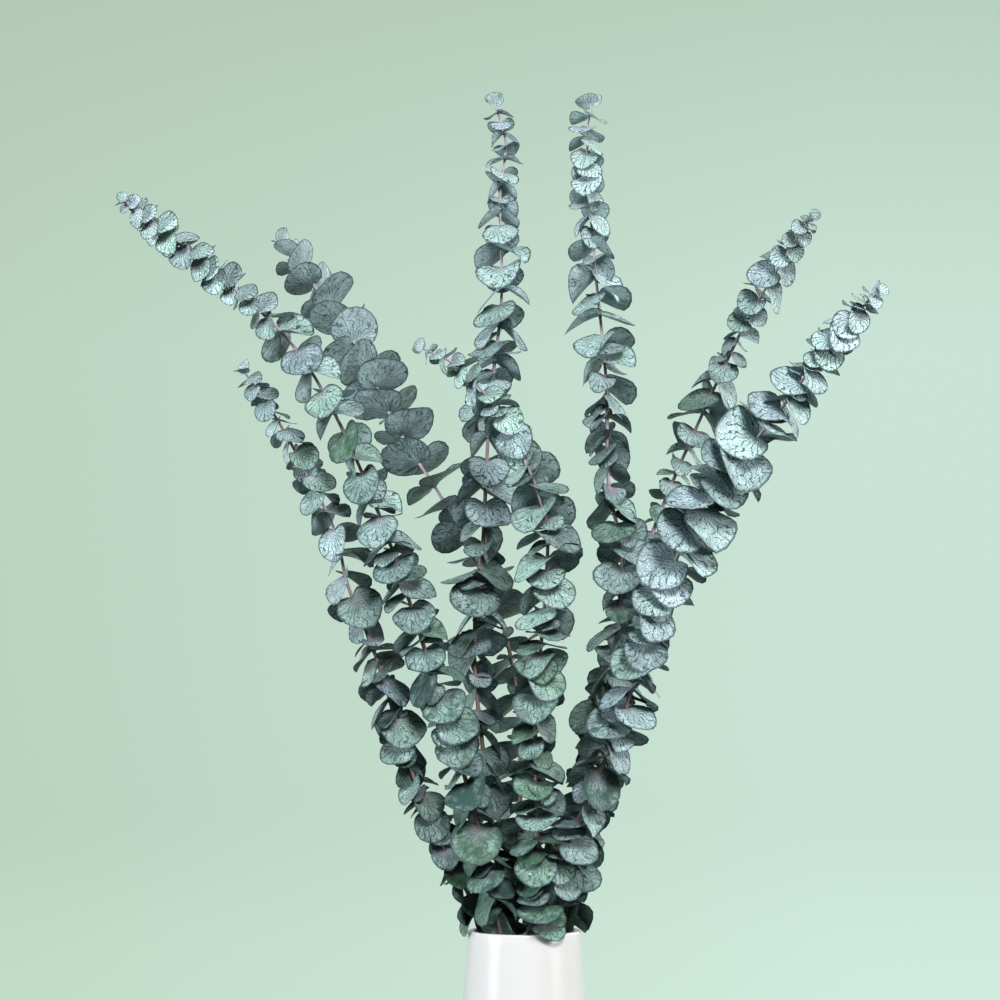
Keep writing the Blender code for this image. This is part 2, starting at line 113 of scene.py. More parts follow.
# %% Where the eye is, and one entry per branch
EYE_DISTANCE = 3200 * MM
EYE_SIDE = -17 * MM
EYE_ABOVE_MOUTH = 301 * MM

# In millimetres and degrees. route: tip first, (right, towards the back, above the mouth). widths:
# leaf width at each distance down from the tip. spacing: of the pairs, against the usual. turn: of
# the first pair. twist: how far each pair turns beyond a quarter circle. rise: how far the leaves
# reach up along the stem; below nothing they hang. tipped: how far the plane they lie round is
# tipped to the front. frost: how much wax the leaves have at the tip and at the vase, and green:
# how green they are beneath it, both from 0 to 1. The lower frost at the vase is partly bloom that
# older leaves lose and partly painted shade that darkens the crowded base. between: below this
# height small leaves sit between the pairs as well.
BRANCHES = {
    "branch_far_left": {
        "route": [(-281, -110, 511), (-218, -95, 461), (-167, -82, 415), (-134, -74, 364),
                  (-99, -64, 284), (-67, -52, 188), (-34, -38, 80), (-16.5, -22.5, 0)],
        "widths": [(0, 9), (12, 17), (40, 20), (90, 20), (110, 17), (130, 30), (330, 31), (480, 34),
                   (620, 31)],
        "spacing": [(0, 0.72), (105, 0.8), (135, 1.25), (400, 1.15), (620, 1.0)], "turn": -45,
        "twist": 1.0, "rise": [(0, 10), (12, -12), (95, -16), (130, -36), (620, -40)],
        "tipped": [(0, 30), (95, 26), (130, 4)], "seed": 11,
        "frost": (0.86, 0.06), "green": 0.45, "between": 330,
    },
    "branch_left_low": {
        "route": [(-197, -52, 392), (-171, -46, 354), (-135, -39, 285), (-123, -35, 240),
                  (-102, -30, 186), (-80, -24, 115), (-53, -14, 52), (-27.5, -3.5, 0)],
        "widths": [(0, 12), (20, 17), (60, 21), (85, 25), (130, 30), (260, 32), (300, 26),
                   (360, 24), (430, 27)],
        "spacing": [(0, 0.85), (80, 0.95), (110, 1.2), (300, 1.15), (430, 1.0)], "turn": -50,
        "twist": 0.0, "rise": [(0, 10), (12, -38), (430, -42)], "tipped": [(0, 4)], "seed": 23,
        "frost": (0.78, 0.06), "green": 0.35, "between": 230,
    },
    "branch_centre_curved": {
        "route": [(-73, -62, 408), (-43, -60, 392), (-15, -58, 358), (0, -58, 330), (15, -60, 287),
                  (15, -60, 240), (8, -56, 150), (9, -47, 85), (12, -25.5, 0)],
        "widths": [(0, 10), (25, 17), (60, 23), (85, 29), (110, 33), (170, 36), (230, 33),
                   (340, 28), (520, 31)],
        "spacing": [(0, 0.8), (70, 0.9), (110, 1.1), (400, 1.05), (520, 0.95)], "turn": 20,
        "twist": 2.0, "rise": [(0, 10), (12, -32), (520, -38)], "tipped": [(0, 0)], "seed": 37,
        "frost": (0.82, 0.06), "green": 0.65, "between": 380,
    },
    "branch_far_right": {
        "route": [(248, -190, 448), (216, -170, 413), (176, -146, 360), (144, -126, 322),
                  (116, -106, 280), (90, -84, 218), (69, -64, 150), (44, -47, 91), (26, -31, 52),
                  (10, -8, 0)],
        "widths": [(0, 10), (13, 18), (32, 22), (60, 26), (107, 32), (140, 40), (225, 39),
                   (262, 33), (520, 31)],
        "spacing": [(0, 0.85), (250, 0.82), (400, 0.95)], "turn": -45, "twist": 0.0,
        "rise": [(0, 10), (12, -16), (120, -20), (600, -32)], "tipped": [(0, -4)], "seed": 41,
        "frost": (1.0, 0.3), "green": 0.25, "between": 460,
    },
    "branch_centre_tall": {
        "route": [(-21, 52, 580), (-13, 48, 550), (-17, 42, 512), (-16, 32, 441), (-24, 24, 367),
                  (-29, 18, 272), (-35, 16, 196), (-27, 12, 110), (-13, 8, 0)],
        "widths": [(0, 12), (15, 18), (50, 21), (80, 24), (97, 30), (140, 33), (220, 32), (280, 37),
                   (330, 38), (400, 32), (560, 31)],
        "spacing": [(0, 1.0), (400, 1.0), (560, 0.95)], "turn": 4, "twist": 0.0,
        "rise": [(0, 10), (12, -38), (560, -42)], "tipped": [(0, 2)], "seed": 53,
        "frost": (1.0, 0.0), "green": 0.35, "between": 430,
    },
    "branch_right_tall": {
        "route": [(47, 28, 578), (44, 26, 549), (49, 18, 470), (57, 12, 388), (59, 10, 314),
                  (69, 10, 258), (63, 12, 196), (50, 12, 130), (38, 10, 60), (27.5, 3.5, 0)],
        "widths": [(0, 17), (20, 20), (90, 23), (115, 30), (160, 37), (200, 33), (230, 26),
                   (260, 31), (290, 36), (440, 32), (600, 30)],
        "spacing": [(0, 0.92), (400, 1.0), (600, 0.95)], "turn": -40, "twist": 1.0,
        "rise": [(0, 5), (12, -36), (600, -40)], "tipped": [(0, 2)], "seed": 67,
        "frost": (1.0, 0.0), "green": 0.4, "between": 430,
    },
    "branch_right_back": {
        "route": [(202, -22, 500), (185, 8, 475), (153, 48, 421), (117, 70, 344), (92, 78, 284),
                  (73, 76, 224), (58, 66, 150), (46, 50, 80), (17.5, 22, 0)],
        "widths": [(0, 9), (15, 13), (45, 17), (55, 26), (80, 30), (95, 18), (135, 18), (150, 27),
                   (165, 37), (190, 33), (215, 18), (270, 19), (300, 31), (600, 30)],
        "spacing": [(0, 1.0), (600, 1.0)], "turn": -45, "twist": 2.0,
        "rise": [(0, 10), (12, -20), (160, -28), (600, -38)], "tipped": [(0, 0)], "seed": 79,
        "frost": (0.75, 0.0), "green": 0.5, "between": 240,
    },
    "branch_left_back": {
        "route": [(-169, 224, 482), (-146, 206, 450), (-122, 184, 417), (-88, 146, 350),
                  (-53, 112, 294), (-19, 90, 224), (-5, 72, 160), (-3, 54, 70), (-5.5, 27.5, 0)],
        "widths": [(0, 14), (20, 25), (40, 35), (200, 38), (300, 34), (420, 31), (560, 30)],
        "spacing": [(0, 1.4), (220, 1.35), (300, 1.15), (560, 1.0)], "turn": 52, "twist": 0.0,
        "rise": [(0, 22), (220, 14), (300, -16), (560, -34)], "tipped": [(0, -8)], "seed": 83,
        "frost": (0.66, 0.0), "green": 0.35, "between": 120,
    },
}

# The leaf that hangs over the lip of the vase, on the left: height above the mouth, turn and rise
# in degrees, width, and curl along its length
LIP_BRANCH = "branch_left_low"
LIP_LEAF = (13 * MM, -80, -46, 26 * MM, -0.35)

# Leaves at the rim that hide the mouth: height above it, turn and rise in degrees, and width
RIM_LEAVES = {
    "branch_far_right": [(14 * MM, -25, -48, 36 * MM), (7 * MM, 40, -40, 24 * MM)],
    "branch_centre_curved": [(19 * MM, -30, -46, 34 * MM), (6 * MM, 35, -44, 26 * MM)],
    "branch_left_low": [(16 * MM, -10, -50, 28 * MM), (9 * MM, 60, -30, 24 * MM)],
    "branch_far_left": [(16 * MM, 0, -52, 30 * MM), (7 * MM, -50, -40, 24 * MM)],
    "branch_centre_tall": [(16 * MM, 10, -40, 30 * MM), (8 * MM, -60, -30, 24 * MM)],
    "branch_right_tall": [(16 * MM, 20, -46, 30 * MM), (8 * MM, 80, -36, 26 * MM)],
    "branch_right_back": [(15 * MM, 30, -40, 28 * MM), (8 * MM, -20, -34, 24 * MM)],
    "branch_left_back": [(15 * MM, -30, -40, 28 * MM), (8 * MM, 40, -34, 24 * MM)],
}
print(len(BRANCHES), "branches")

# %% [markdown]
# ## The line of a stem
#
# A live stem bends smoothly, so its line is a curve through the points of its route. A Bezier curve
# object could draw it, but the leaves need to know where the stem is and which way it grows at any
# distance from its tip, and a Catmull-Rom curve gives that with a few lines of arithmetic. In the
# vase the stems are spiralled as in a hand-tied bunch, so that they pass each other without
# touching.


# %% From a route to places in the room
def real_place(point):
    """Where a point of a route is: its offset from the eye's line grows with its distance."""
    side, back, above = (value * MM for value in point)
    scale = 1 + back / EYE_DISTANCE
    x = EYE_SIDE + (side - EYE_SIDE) * scale
    z = EYE_ABOVE_MOUTH + (above - EYE_ABOVE_MOUTH) * scale
    return np.array([x, back, VASE_HEIGHT + z])


def foot_place(mouth):
    """The place in the mouth, turned about the axis and drawn in, down on the vase's floor."""
    cos, sin = math.cos(SPIRAL_TURN), math.sin(SPIRAL_TURN)
    x, y = mouth[0], mouth[1]
    turned_x, turned_y = cos * x - sin * y, sin * x + cos * y
    return np.array([SPIRAL_SPREAD * turned_x, SPIRAL_SPREAD * turned_y, FLOOR])


def smooth_path(points, per_span=24):
    """A Catmull-Rom curve: a cubic per span, its slope at a point from the last to the next."""
    points = np.array(points)
    ends = 2 * points[[0, -1]] - points[[1, -2]]
    padded = np.vstack([ends[:1], points, ends[1:]])
    t = np.linspace(0, 1, per_span, endpoint=False)[:, None]
    spans = []
    for a, b, c, d in zip(padded, padded[1:], padded[2:], padded[3:]):
        spans.append(
            b + 0.5 * t * (c - a + t * (2 * a - 5 * b + 4 * c - d + t * (3 * (b - c) + d - a)))
        )
    return np.vstack(spans + [points[-1:]])


# %% The stem as a line that can be asked where it is
def unit(vector):
    """The same direction, one long."""
    return vector / np.linalg.norm(vector)


def square_to(grow):
    """The two directions square to a direction of growth: to the front and to the right."""
    front = unit(np.array([0, -1, 0]) + grow * grow[1])
    return front, np.cross(grow, front)


class Stem:
    """A stem's line from tip to cut end: the curve, and the straight lengths of the solid."""

    def __init__(self, route, turn):
        seen = [real_place(point) for point in route]
        mouth = np.array([route[-1][0] * MM, route[-1][1] * MM, VASE_HEIGHT])
        self.front, self.right = square_to(unit(seen[0] - mouth))
        self.corners = turn + (np.arange(STEM_SIDES) + 0.5) * 2 * math.pi / STEM_SIDES
        cut_end = self.section(foot_place(mouth), STEM_RADIUS_CUT_END)
        foot = foot_place(mouth) + [0, 0, FLOOR + SEAT_GAP - cut_end[:, 2].min()]
        inside = [mouth + (foot - mouth) * share for share in (0, 0.35, 0.7, 1)]
        self.measure(smooth_path(seen[:-1] + inside))
        self.curve, self.curve_run = self.path, self.run
        self.measure(np.array([self.at(d) for d in np.linspace(0, self.length, STEM_POINTS)]))

    def section(self, place, radius):
        """Corners of the squared stem: radius times cosine to the front, sine to the right."""
        angles = self.corners[:, None]
        return place + radius * (np.cos(angles) * self.front + np.sin(angles) * self.right)

    def measure(self, path):
        """Take this line as the path, with the distance from the tip at each of its points."""
        self.path = path
        steps = np.linalg.norm(np.diff(path, axis=0), axis=1)
        self.run = np.concatenate([[0], np.cumsum(steps)])
        self.length = self.run[-1]

    def at(self, distance):
        """The place on the straight lengths at this distance from the tip."""
        return np.array([np.interp(distance, self.run, self.path[:, axis]) for axis in range(3)])

    def curve_at(self, distance):
        """The place on the smooth curve, the same share of the way down."""
        run = np.asarray(distance) / self.length * self.curve_run[-1]
        along = [np.interp(run, self.curve_run, self.curve[:, axis]) for axis in range(3)]
        return np.stack(along, axis=-1)

    def upwards(self, distance):
        """The direction of growth there: from 2 mm below to 2 mm above."""
        step = self.at(max(distance - 2 * MM, 0)) - self.at(min(distance + 2 * MM, self.length))
        return step / np.linalg.norm(step)

    def radius(self, distance):
        """Thin at the tip, thicker by the share of the way down to the power of three quarters."""
        share = distance / self.length
        return STEM_RADIUS_TIP + (STEM_RADIUS_CUT_END - STEM_RADIUS_TIP) * share**0.75

    def distance_at_height(self, z):
        """How far from the tip the stem passes this height."""
        return float(np.interp(-z, -self.path[:, 2], self.run))


stems = {
    name: Stem(branch["route"], math.radians(branch["turn"])) for name, branch in BRANCHES.items()
}
print("stem lengths in mm:", {name: round(stem.length / MM) for name, stem in stems.items()})

# %% [markdown]
# ## How the leaves grow
#
# Some 900 leaves could be set by hand, but a plant follows a rule and so does this bunch: down from
# the tip a pair every so often, each pair a quarter turn from the last, every leaf a little
# different. Chance comes from seeded draws, so the bunch is the same each time. The draws are made
# in the same order as for the solids, which carry five leaves in seven. The ones that the solids
# leave out come in a second pass, and in a third come small leaves between the pairs, which make
# the bunch dense low down.


# %% The leaves that a branch would have with nothing in its way
def at_distance(table, distance):
    """What a table gives at this distance from the tip: a straight slope between its entries."""
    marks, values = zip(*table)
    return float(np.interp(distance / MM, marks, values))


def wanted_leaves(name, stem):
    """Pairs from the tip down: a step is a share of the leaf's width, a turn a quarter circle."""
    branch = BRANCHES[name]
    draw = random.Random(branch["seed"])
    lowest = stem.distance_at_height(VASE_HEIGHT + LOWEST_NODE)
    distance, turn = HIGHEST_NODE, branch["turn"]
    leaves = []
    while distance < lowest:
        width = at_distance(branch["widths"], distance) * MM
        rise = math.radians(at_distance(branch["rise"], distance))
        tipped = math.radians(at_distance(branch["tipped"], distance))
        if not leaves:
            rise = math.radians(TIP_RISE)
        for opposite in (0, math.pi):
            leaves.append(
                {
                    "distance": distance + draw.uniform(-0.4, 0.4) * MM,
                    "turn": math.radians(turn + draw.gauss(0, 9)) + opposite,
                    "rise": rise + math.radians(draw.gauss(0, 11)),
                    "roll": math.radians(draw.gauss(0, 13)),
                    "width": width * draw.uniform(0.88, 1.1),
                    "cup": draw.uniform(0.0, 0.55),
                    "curl": draw.uniform(-0.35, 0.15),
                    "tipped": tipped,
                }
            )
        step = at_distance(branch["spacing"], distance) * (SHORTEST_STEP + STEP_PER_WIDTH * width)
        distance += step * draw.uniform(0.88, 1.12)
        turn += 90 + branch["twist"]
    return leaves


def single_leaf(stem, above_mouth, turn, rise, width, curl=-0.05):
    """One leaf at a height above the mouth, with the dish of a middling leaf."""
    return {
        "distance": stem.distance_at_height(VASE_HEIGHT + above_mouth),
        "turn": math.radians(turn),
        "rise": math.radians(rise),
        "roll": 0.0,
        "width": width,
        "cup": 0.3,
        "curl": curl,
        "tipped": 0.0,
    }


def leaves_between(name, leaves, stem):
    """Leaves at the rim, and small ones half way from pair to pair, an eighth of a turn on."""
    draw = random.Random(BRANCHES[name]["seed"] + 500)
    highest = stem.distance_at_height(VASE_HEIGHT + BRANCHES[name]["between"] * MM)
    found = [single_leaf(stem, *entry) for entry in RIM_LEAVES[name]]
    for leaf, below in zip(leaves, leaves[2:]):
        if leaf["distance"] > highest:
            found.append(
                dict(
                    leaf,
                    distance=(leaf["distance"] + below["distance"]) / 2,
                    turn=leaf["turn"] + math.radians(45 + draw.gauss(0, 12)),
                    width=leaf["width"] * draw.uniform(0.6, 0.9),
                )
            )
    return found


# %% The directions of one leaf
def leaf_axes(stem, leaf):
    """Root, and the directions along the leaf, across it and out of its upper face.

    The plane that the leaves lie round is square to the growth, or tipped to the front or the back.
    The leaf points out by its turn, is raised by its rise, and is rolled about its own length.
    """
    grow = stem.upwards(leaf["distance"])
    grow = math.cos(leaf["tipped"]) * grow + math.sin(leaf["tipped"]) * square_to(grow)[0]
    front, right = square_to(grow)
    outward = math.cos(leaf["turn"]) * front + math.sin(leaf["turn"]) * right
    along = math.cos(leaf["rise"]) * outward + math.sin(leaf["rise"]) * grow
    upper = math.cos(leaf["rise"]) * grow - math.sin(leaf["rise"]) * outward
    across = np.cross(along, upper)
    across, upper = (
        math.cos(leaf["roll"]) * across + math.sin(leaf["roll"]) * upper,
        math.cos(leaf["roll"]) * upper - math.sin(leaf["roll"]) * across,
    )
    root = stem.at(leaf["distance"]) + outward * stem.radius(leaf["distance"]) * ROOT_DEPTH
    return root, along, across, upper


# %% [markdown]
# ## Making room
#
# In a real bunch the leaves push each other aside. Here each new leaf is first tried where it wants
# to be, and if its blade would pass through another one, a stem or the vase, it is turned, raised,
# lowered or made smaller until it fits, the smallest change first. A physics simulation could do
# the pushing, but it is slow and hard to repeat. Searching with ray-tracing trees takes well under
# a minute and always ends the same way.


# %% The simple blade that is tried for size
# Its corners are moved out by this share, so that it covers the round edge between them
CORNERS_WIDER = 1.05
# Its root corner is cut off at this many radii of its own stem
ROOT_CUT = 1.2


def outline(angle):
    """Edge of the simple blade in widths: an ellipse, BACK behind the root, FORWARD before it."""
    return np.sin(angle) / 2, (FORWARD - BACK) / 2 - (FORWARD + BACK) / 2 * np.cos(angle)


def edge_angles(width):
    """Corners on one side of the simple blade, and whether it has one at its end."""
    if width > LARGE_LEAF:
        return np.radians([62, 121]), True
    if width > SMALL_LEAF:
        return np.radians([72, 146]), False
    return np.radians([88]), True


def blade_corners(leaf, axes, growth):
    """Corners of the simple blade, lifted by the square of the way across and of the way along."""
    angles, has_end = edge_angles(leaf["width"])
    across, along = outline(angles)
    across, along = across * growth * CORNERS_WIDER, along * growth
    end = [FORWARD * growth] if has_end else []
    side = np.concatenate([[0], across, np.zeros(len(end)), -across[::-1]])
    reach = np.concatenate([[0], along, end, along[::-1]])
    root, along_axis, across_axis, upper_axis = axes
    height = leaf["cup"] * side**2 + leaf["curl"] * reach**2
    return root + leaf["width"] * (
        np.multiply.outer(reach, along_axis)
        + np.multiply.outer(side, across_axis)
        + np.multiply.outer(height, upper_axis)
    )


def thick_blade(stem, leaf, axes, room):
    """The simple blade with room above and below it, as a search tree, and its corners.

    The root sits in its own stem, so that corner is cut off. The faces go back and forth between
    the two sides, from the root to the end.
    """
    growth, half_thickness = room
    points = blade_corners(leaf, axes, growth)
    beside = points[[1, -1]] - points[0]
    cut = ROOT_CUT * stem.radius(leaf["distance"]) / np.linalg.norm(beside[0])
    points = np.vstack([points[0] + beside[0] * cut, points[1:], points[0] + beside[1] * cut])
    count = len(points)
    left, right = 1, count - 1
    flat = [(0, left, right)]
    while right - left > 1:
        flat.append((left, left + 1, right))
        left += 1
        if right - left > 1:
            flat.append((left, right - 1, right))
            right -= 1
    faces = flat + [tuple(i + count for i in face) for face in flat]
    faces += [(i, (i + 1) % count, (i + 1) % count + count, i + count) for i in range(count)]
    both_sides = np.vstack([points + axes[3] * half_thickness, points - axes[3] * half_thickness])
    return BVHTree.FromPolygons(both_sides.tolist(), faces), points


# %% Rings of points, and the faces between them
def ring_quads(rings, sides):
    """Quads between neighbouring rings: a point, the next one round, and the two above."""
    ring, side = np.meshgrid(np.arange(rings - 1), np.arange(sides), indexing="ij")
    start, following = ring * sides, (side + 1) % sides
    quads = [start + side, start + following, start + following + sides, start + side + sides]
    return np.stack(quads, axis=-1).reshape(-1, 4)


def fan(middle, ring):
    """Triangles from a middle point to each side of a ring."""
    return np.stack([np.full(len(ring), middle), ring, np.roll(ring, -1)], axis=1)


def tree_of(points, faces):
    """A search tree of a mesh, to ask what crosses it."""
    return BVHTree.FromPolygons(points.tolist(), faces.tolist())


# %% What the leaves must stay clear of: the other stems and the vase
def stem_tree(stem, sides=6, rings=40):
    """A tube about the stem, its radius 5% and 0.6 mm larger than the stem's."""
    angles = np.linspace(0, 2 * math.pi, sides, endpoint=False)[:, None]
    points = []
    for distance in np.linspace(0, stem.length, rings):
        front, right = square_to(stem.upwards(distance))
        radius = stem.radius(distance) * 1.05 + 0.6 * MM
        ring = np.cos(angles) * front + np.sin(angles) * right
        points.append(stem.at(distance) + radius * ring)
    return tree_of(np.vstack(points), ring_quads(rings, sides))


def plain_profile():
    """Outer and inner side of the model's vase as (radius, height), from the middle of the foot."""
    lean = (FOOT_RADIUS - MOUTH_RADIUS) / VASE_HEIGHT
    foot = FOOT_ROUNDING
    lip = LIP_ROUNDING
    inner_foot = FOOT_RADIUS - WALL - lean * FLOOR
    return [
        (0, 0),
        (FOOT_RADIUS - foot, 0),
        (FOOT_RADIUS - foot * 0.3, foot * 0.3),
        (FOOT_RADIUS - lean * foot, foot),
        (MOUTH_RADIUS + lean * lip, VASE_HEIGHT - lip),
        (MOUTH_RADIUS - lip * 0.6, VASE_HEIGHT),
        (MOUTH_RADIUS - WALL + lip * 0.6, VASE_HEIGHT),
        (MOUTH_RADIUS - WALL + lean * lip, VASE_HEIGHT - lip),
        (inner_foot, FLOOR + foot),
        (inner_foot - foot, FLOOR),
        (0, FLOOR),
    ]


def turned(profile, sides):
    """The profile carried round the axis: radius times cosine and sine, height unchanged."""
    radius, height = np.array(profile).T
    angles = np.linspace(0, 2 * math.pi, sides, endpoint=False)
    x, y = np.multiply.outer(radius, np.cos(angles)), np.multiply.outer(radius, np.sin(angles))
    return np.stack([x, y, np.repeat(height[:, None], sides, axis=1)], axis=-1).reshape(-1, 3)


# %% The search for room
# Losing a tenth of its size is as much of a change as turning by three of these steps
TRY_STEP = 12
SIZE_EFFORT = 30
# A small leaf between the pairs is tried with the first so many changes, and left out otherwise
TRIES_BETWEEN = 90


def tries():
    """Changes to a leaf that doesn't fit, (turn, rise, size), the smallest change first."""
    found = []
    for size in (1, 0.9, 0.8, 0.7, 0.6):
        for rise in (0, 12, -12, 24, -24, 38, -38):
            for turn in (0, 12, -12, 24, -24, 36, -36):
                effort = abs(turn) / TRY_STEP + abs(rise) / TRY_STEP + (1 - size) * SIZE_EFFORT
                found.append((effort, math.radians(turn), math.radians(rise), size))
    return [change[1:] for change in sorted(found)]


def changed(leaf, change):
    """The leaf turned, raised and made smaller by a change."""
    turn, rise, size = change
    turn, rise = leaf["turn"] + turn, leaf["rise"] + rise
    return dict(leaf, turn=turn, rise=rise, width=leaf["width"] * size)


class Crowd:
    """Everything placed so far."""

    def __init__(self):
        self.solids = {name: stem_tree(stem) for name, stem in stems.items()}
        profile = plain_profile()
        vase_faces = ring_quads(len(profile), VASE_SIDES)
        self.solids["vase"] = tree_of(turned(profile, VASE_SIDES), vase_faces)
        self.middles = np.empty((0, 3))
        self.reaches = np.empty(0)
        self.blades = []

    def crossed(self, name, stem, leaf):
        """Names of the pieces that this leaf would cross, and what to store if it is kept."""
        axes = leaf_axes(stem, leaf)
        roomy, points = thick_blade(stem, leaf, axes, ROOM_TO_OTHERS)
        slim, _ = thick_blade(stem, leaf, axes, ROOM_TO_OWN)
        middle = points.mean(axis=0)
        reach = np.linalg.norm(points - middle, axis=1).max()
        others = [other for other in self.solids if other != name]
        hits = {other for other in others if roomy.overlap(self.solids[other])}
        near = np.linalg.norm(self.middles - middle, axis=1) < self.reaches + reach
        for i in np.flatnonzero(near):
            owner, other_roomy, other_slim = self.blades[i]
            if owner in hits:
                continue
            if slim.overlap(other_slim) if owner == name else roomy.overlap(other_roomy):
                hits.add(owner)
        return hits, (middle, reach, roomy, slim)

    def keep(self, name, found):
        """Store a blade, so that later ones stay clear of it."""
        middle, reach, roomy, slim = found
        self.middles = np.vstack([self.middles, middle])
        self.reaches = np.append(self.reaches, reach)
        self.blades.append((name, roomy, slim))


def fitted(crowd, name, leaf, changes, may_touch_own):
    """The leaf with the smallest change that clears all, or all but its own branch if it may."""
    spare = None
    for change in changes:
        candidate = changed(leaf, change)
        hits, found = crowd.crossed(name, stems[name], candidate)
        if not hits:
            crowd.keep(name, found)
            return candidate
        if may_touch_own and spare is None and hits == {name}:
            spare = candidate, found
    if spare is None:
        return None
    crowd.keep(name, spare[1])
    return spare[0]


# %% Grow the leaves that the solids have, then the ones between them
def grow_all():
    """Leaves of every branch: those of the solids, those they leave out, then the small ones."""
    crowd, changes = Crowd(), tries()
    grown = {name: [] for name in stems}
    in_solids, left_out, between = {}, {}, {}
    for name, stem in stems.items():
        leaves = wanted_leaves(name, stem)
        in_solids[name] = [leaf for i, leaf in enumerate(leaves) if i % LEAF_COUNT not in LEFT_OUT]
        left_out[name] = [leaf for i, leaf in enumerate(leaves) if i % LEAF_COUNT in LEFT_OUT]
        between[name] = leaves_between(name, leaves, stem)
        if name == LIP_BRANCH:
            in_solids[name].append(single_leaf(stem, *LIP_LEAF))
    # A leaf of the solids may touch its own branch, as a union joins them. A small one may not.
    for batch, may_touch_own in ((in_solids, True), (left_out, True), (between, False)):
        tried = changes if may_touch_own else changes[:TRIES_BETWEEN]
        for name, leaves in batch.items():
            kept = [fitted(crowd, name, leaf, tried, may_touch_own) for leaf in leaves]
            grown[name] += [leaf for leaf in kept if leaf is not None]
        print("leaves so far:", sum(len(leaves) for leaves in grown.values()))
    return grown


grown = grow_all()
print("leaves:", {name: len(leaves) for name, leaves in grown.items()})
print("leaves in all:", sum(len(leaves) for leaves in grown.values()))

# %% [markdown]
# ## A finer leaf
#
# A real blade is nearly round and a little wider than long, with two lobes that reach back past the
# stem. It is dished, often creased along its midrib, and its edge waves. One leaf could be modelled
# and copied, but then all would be alike. Here every leaf is its own surface: the same small grid
# of points, bent by its own numbers. The upper and the lower side are two grids that share their
# edge, so the blade is a closed, very thin lens. It has 80 faces: a shape that comes 900 times over
# must stay light.

# %% The grid that every leaf shares
EDGE_POINTS = 20
RINGS = np.array([0.6, 1.0])
around = np.linspace(0, 2 * math.pi, EDGE_POINTS, endpoint=False)
# Points sit closer together beside the root, where the outline turns most.
around = around - 0.3 * np.sin(around)


def blade_grid_faces():
    """Faces of one leaf: a fan in the middle and quads outward above, the same turned over below.

    Points are numbered: upper middle, upper rings from the middle out, then lower middle and lower
    rings without the edge, which both sides share.
    """
    upper_rings = len(RINGS)
    middle = fan(0, 1 + np.arange(EDGE_POINTS))
    quads = ring_quads(upper_rings, EDGE_POINTS)[:, [0, 3, 2, 1]] + 1
    upper_count = 1 + upper_rings * EDGE_POINTS
    to_lower = np.arange(upper_count) + upper_count
    edge = np.arange(upper_count - EDGE_POINTS, upper_count)
    to_lower[edge] = edge
    return middle, quads, to_lower[middle][:, ::-1], to_lower[quads][:, ::-1], upper_count


FAN, QUADS, LOWER_FAN, LOWER_QUADS, UPPER_COUNT = blade_grid_faces()
LEAF_POINTS = 2 * UPPER_COUNT - EDGE_POINTS
print("points and faces of one leaf:", LEAF_POINTS, 2 * (len(FAN) + len(QUADS)))


# %% The surface of all the leaves of a branch at once
def leaf_shapes(leaves, seed):
    """Numbers that make each leaf its own, one column per leaf."""
    draw = np.random.default_rng(seed)
    count = len(leaves)
    return {
        "lobe": draw.uniform(0.1, 0.22, count),
        "point": draw.uniform(-0.02, 0.08, count),
        "lopsided": draw.normal(0, 0.035, count),
        "wave": draw.uniform(0.0, 0.03, (count, 2)),
        "phase": draw.uniform(0, 2 * math.pi, (count, 4)),
        "crease": np.maximum(draw.normal(0.04, 0.09, count), 0),
        "ripple": draw.uniform(0.0, 0.06, (count, 2)),
    }


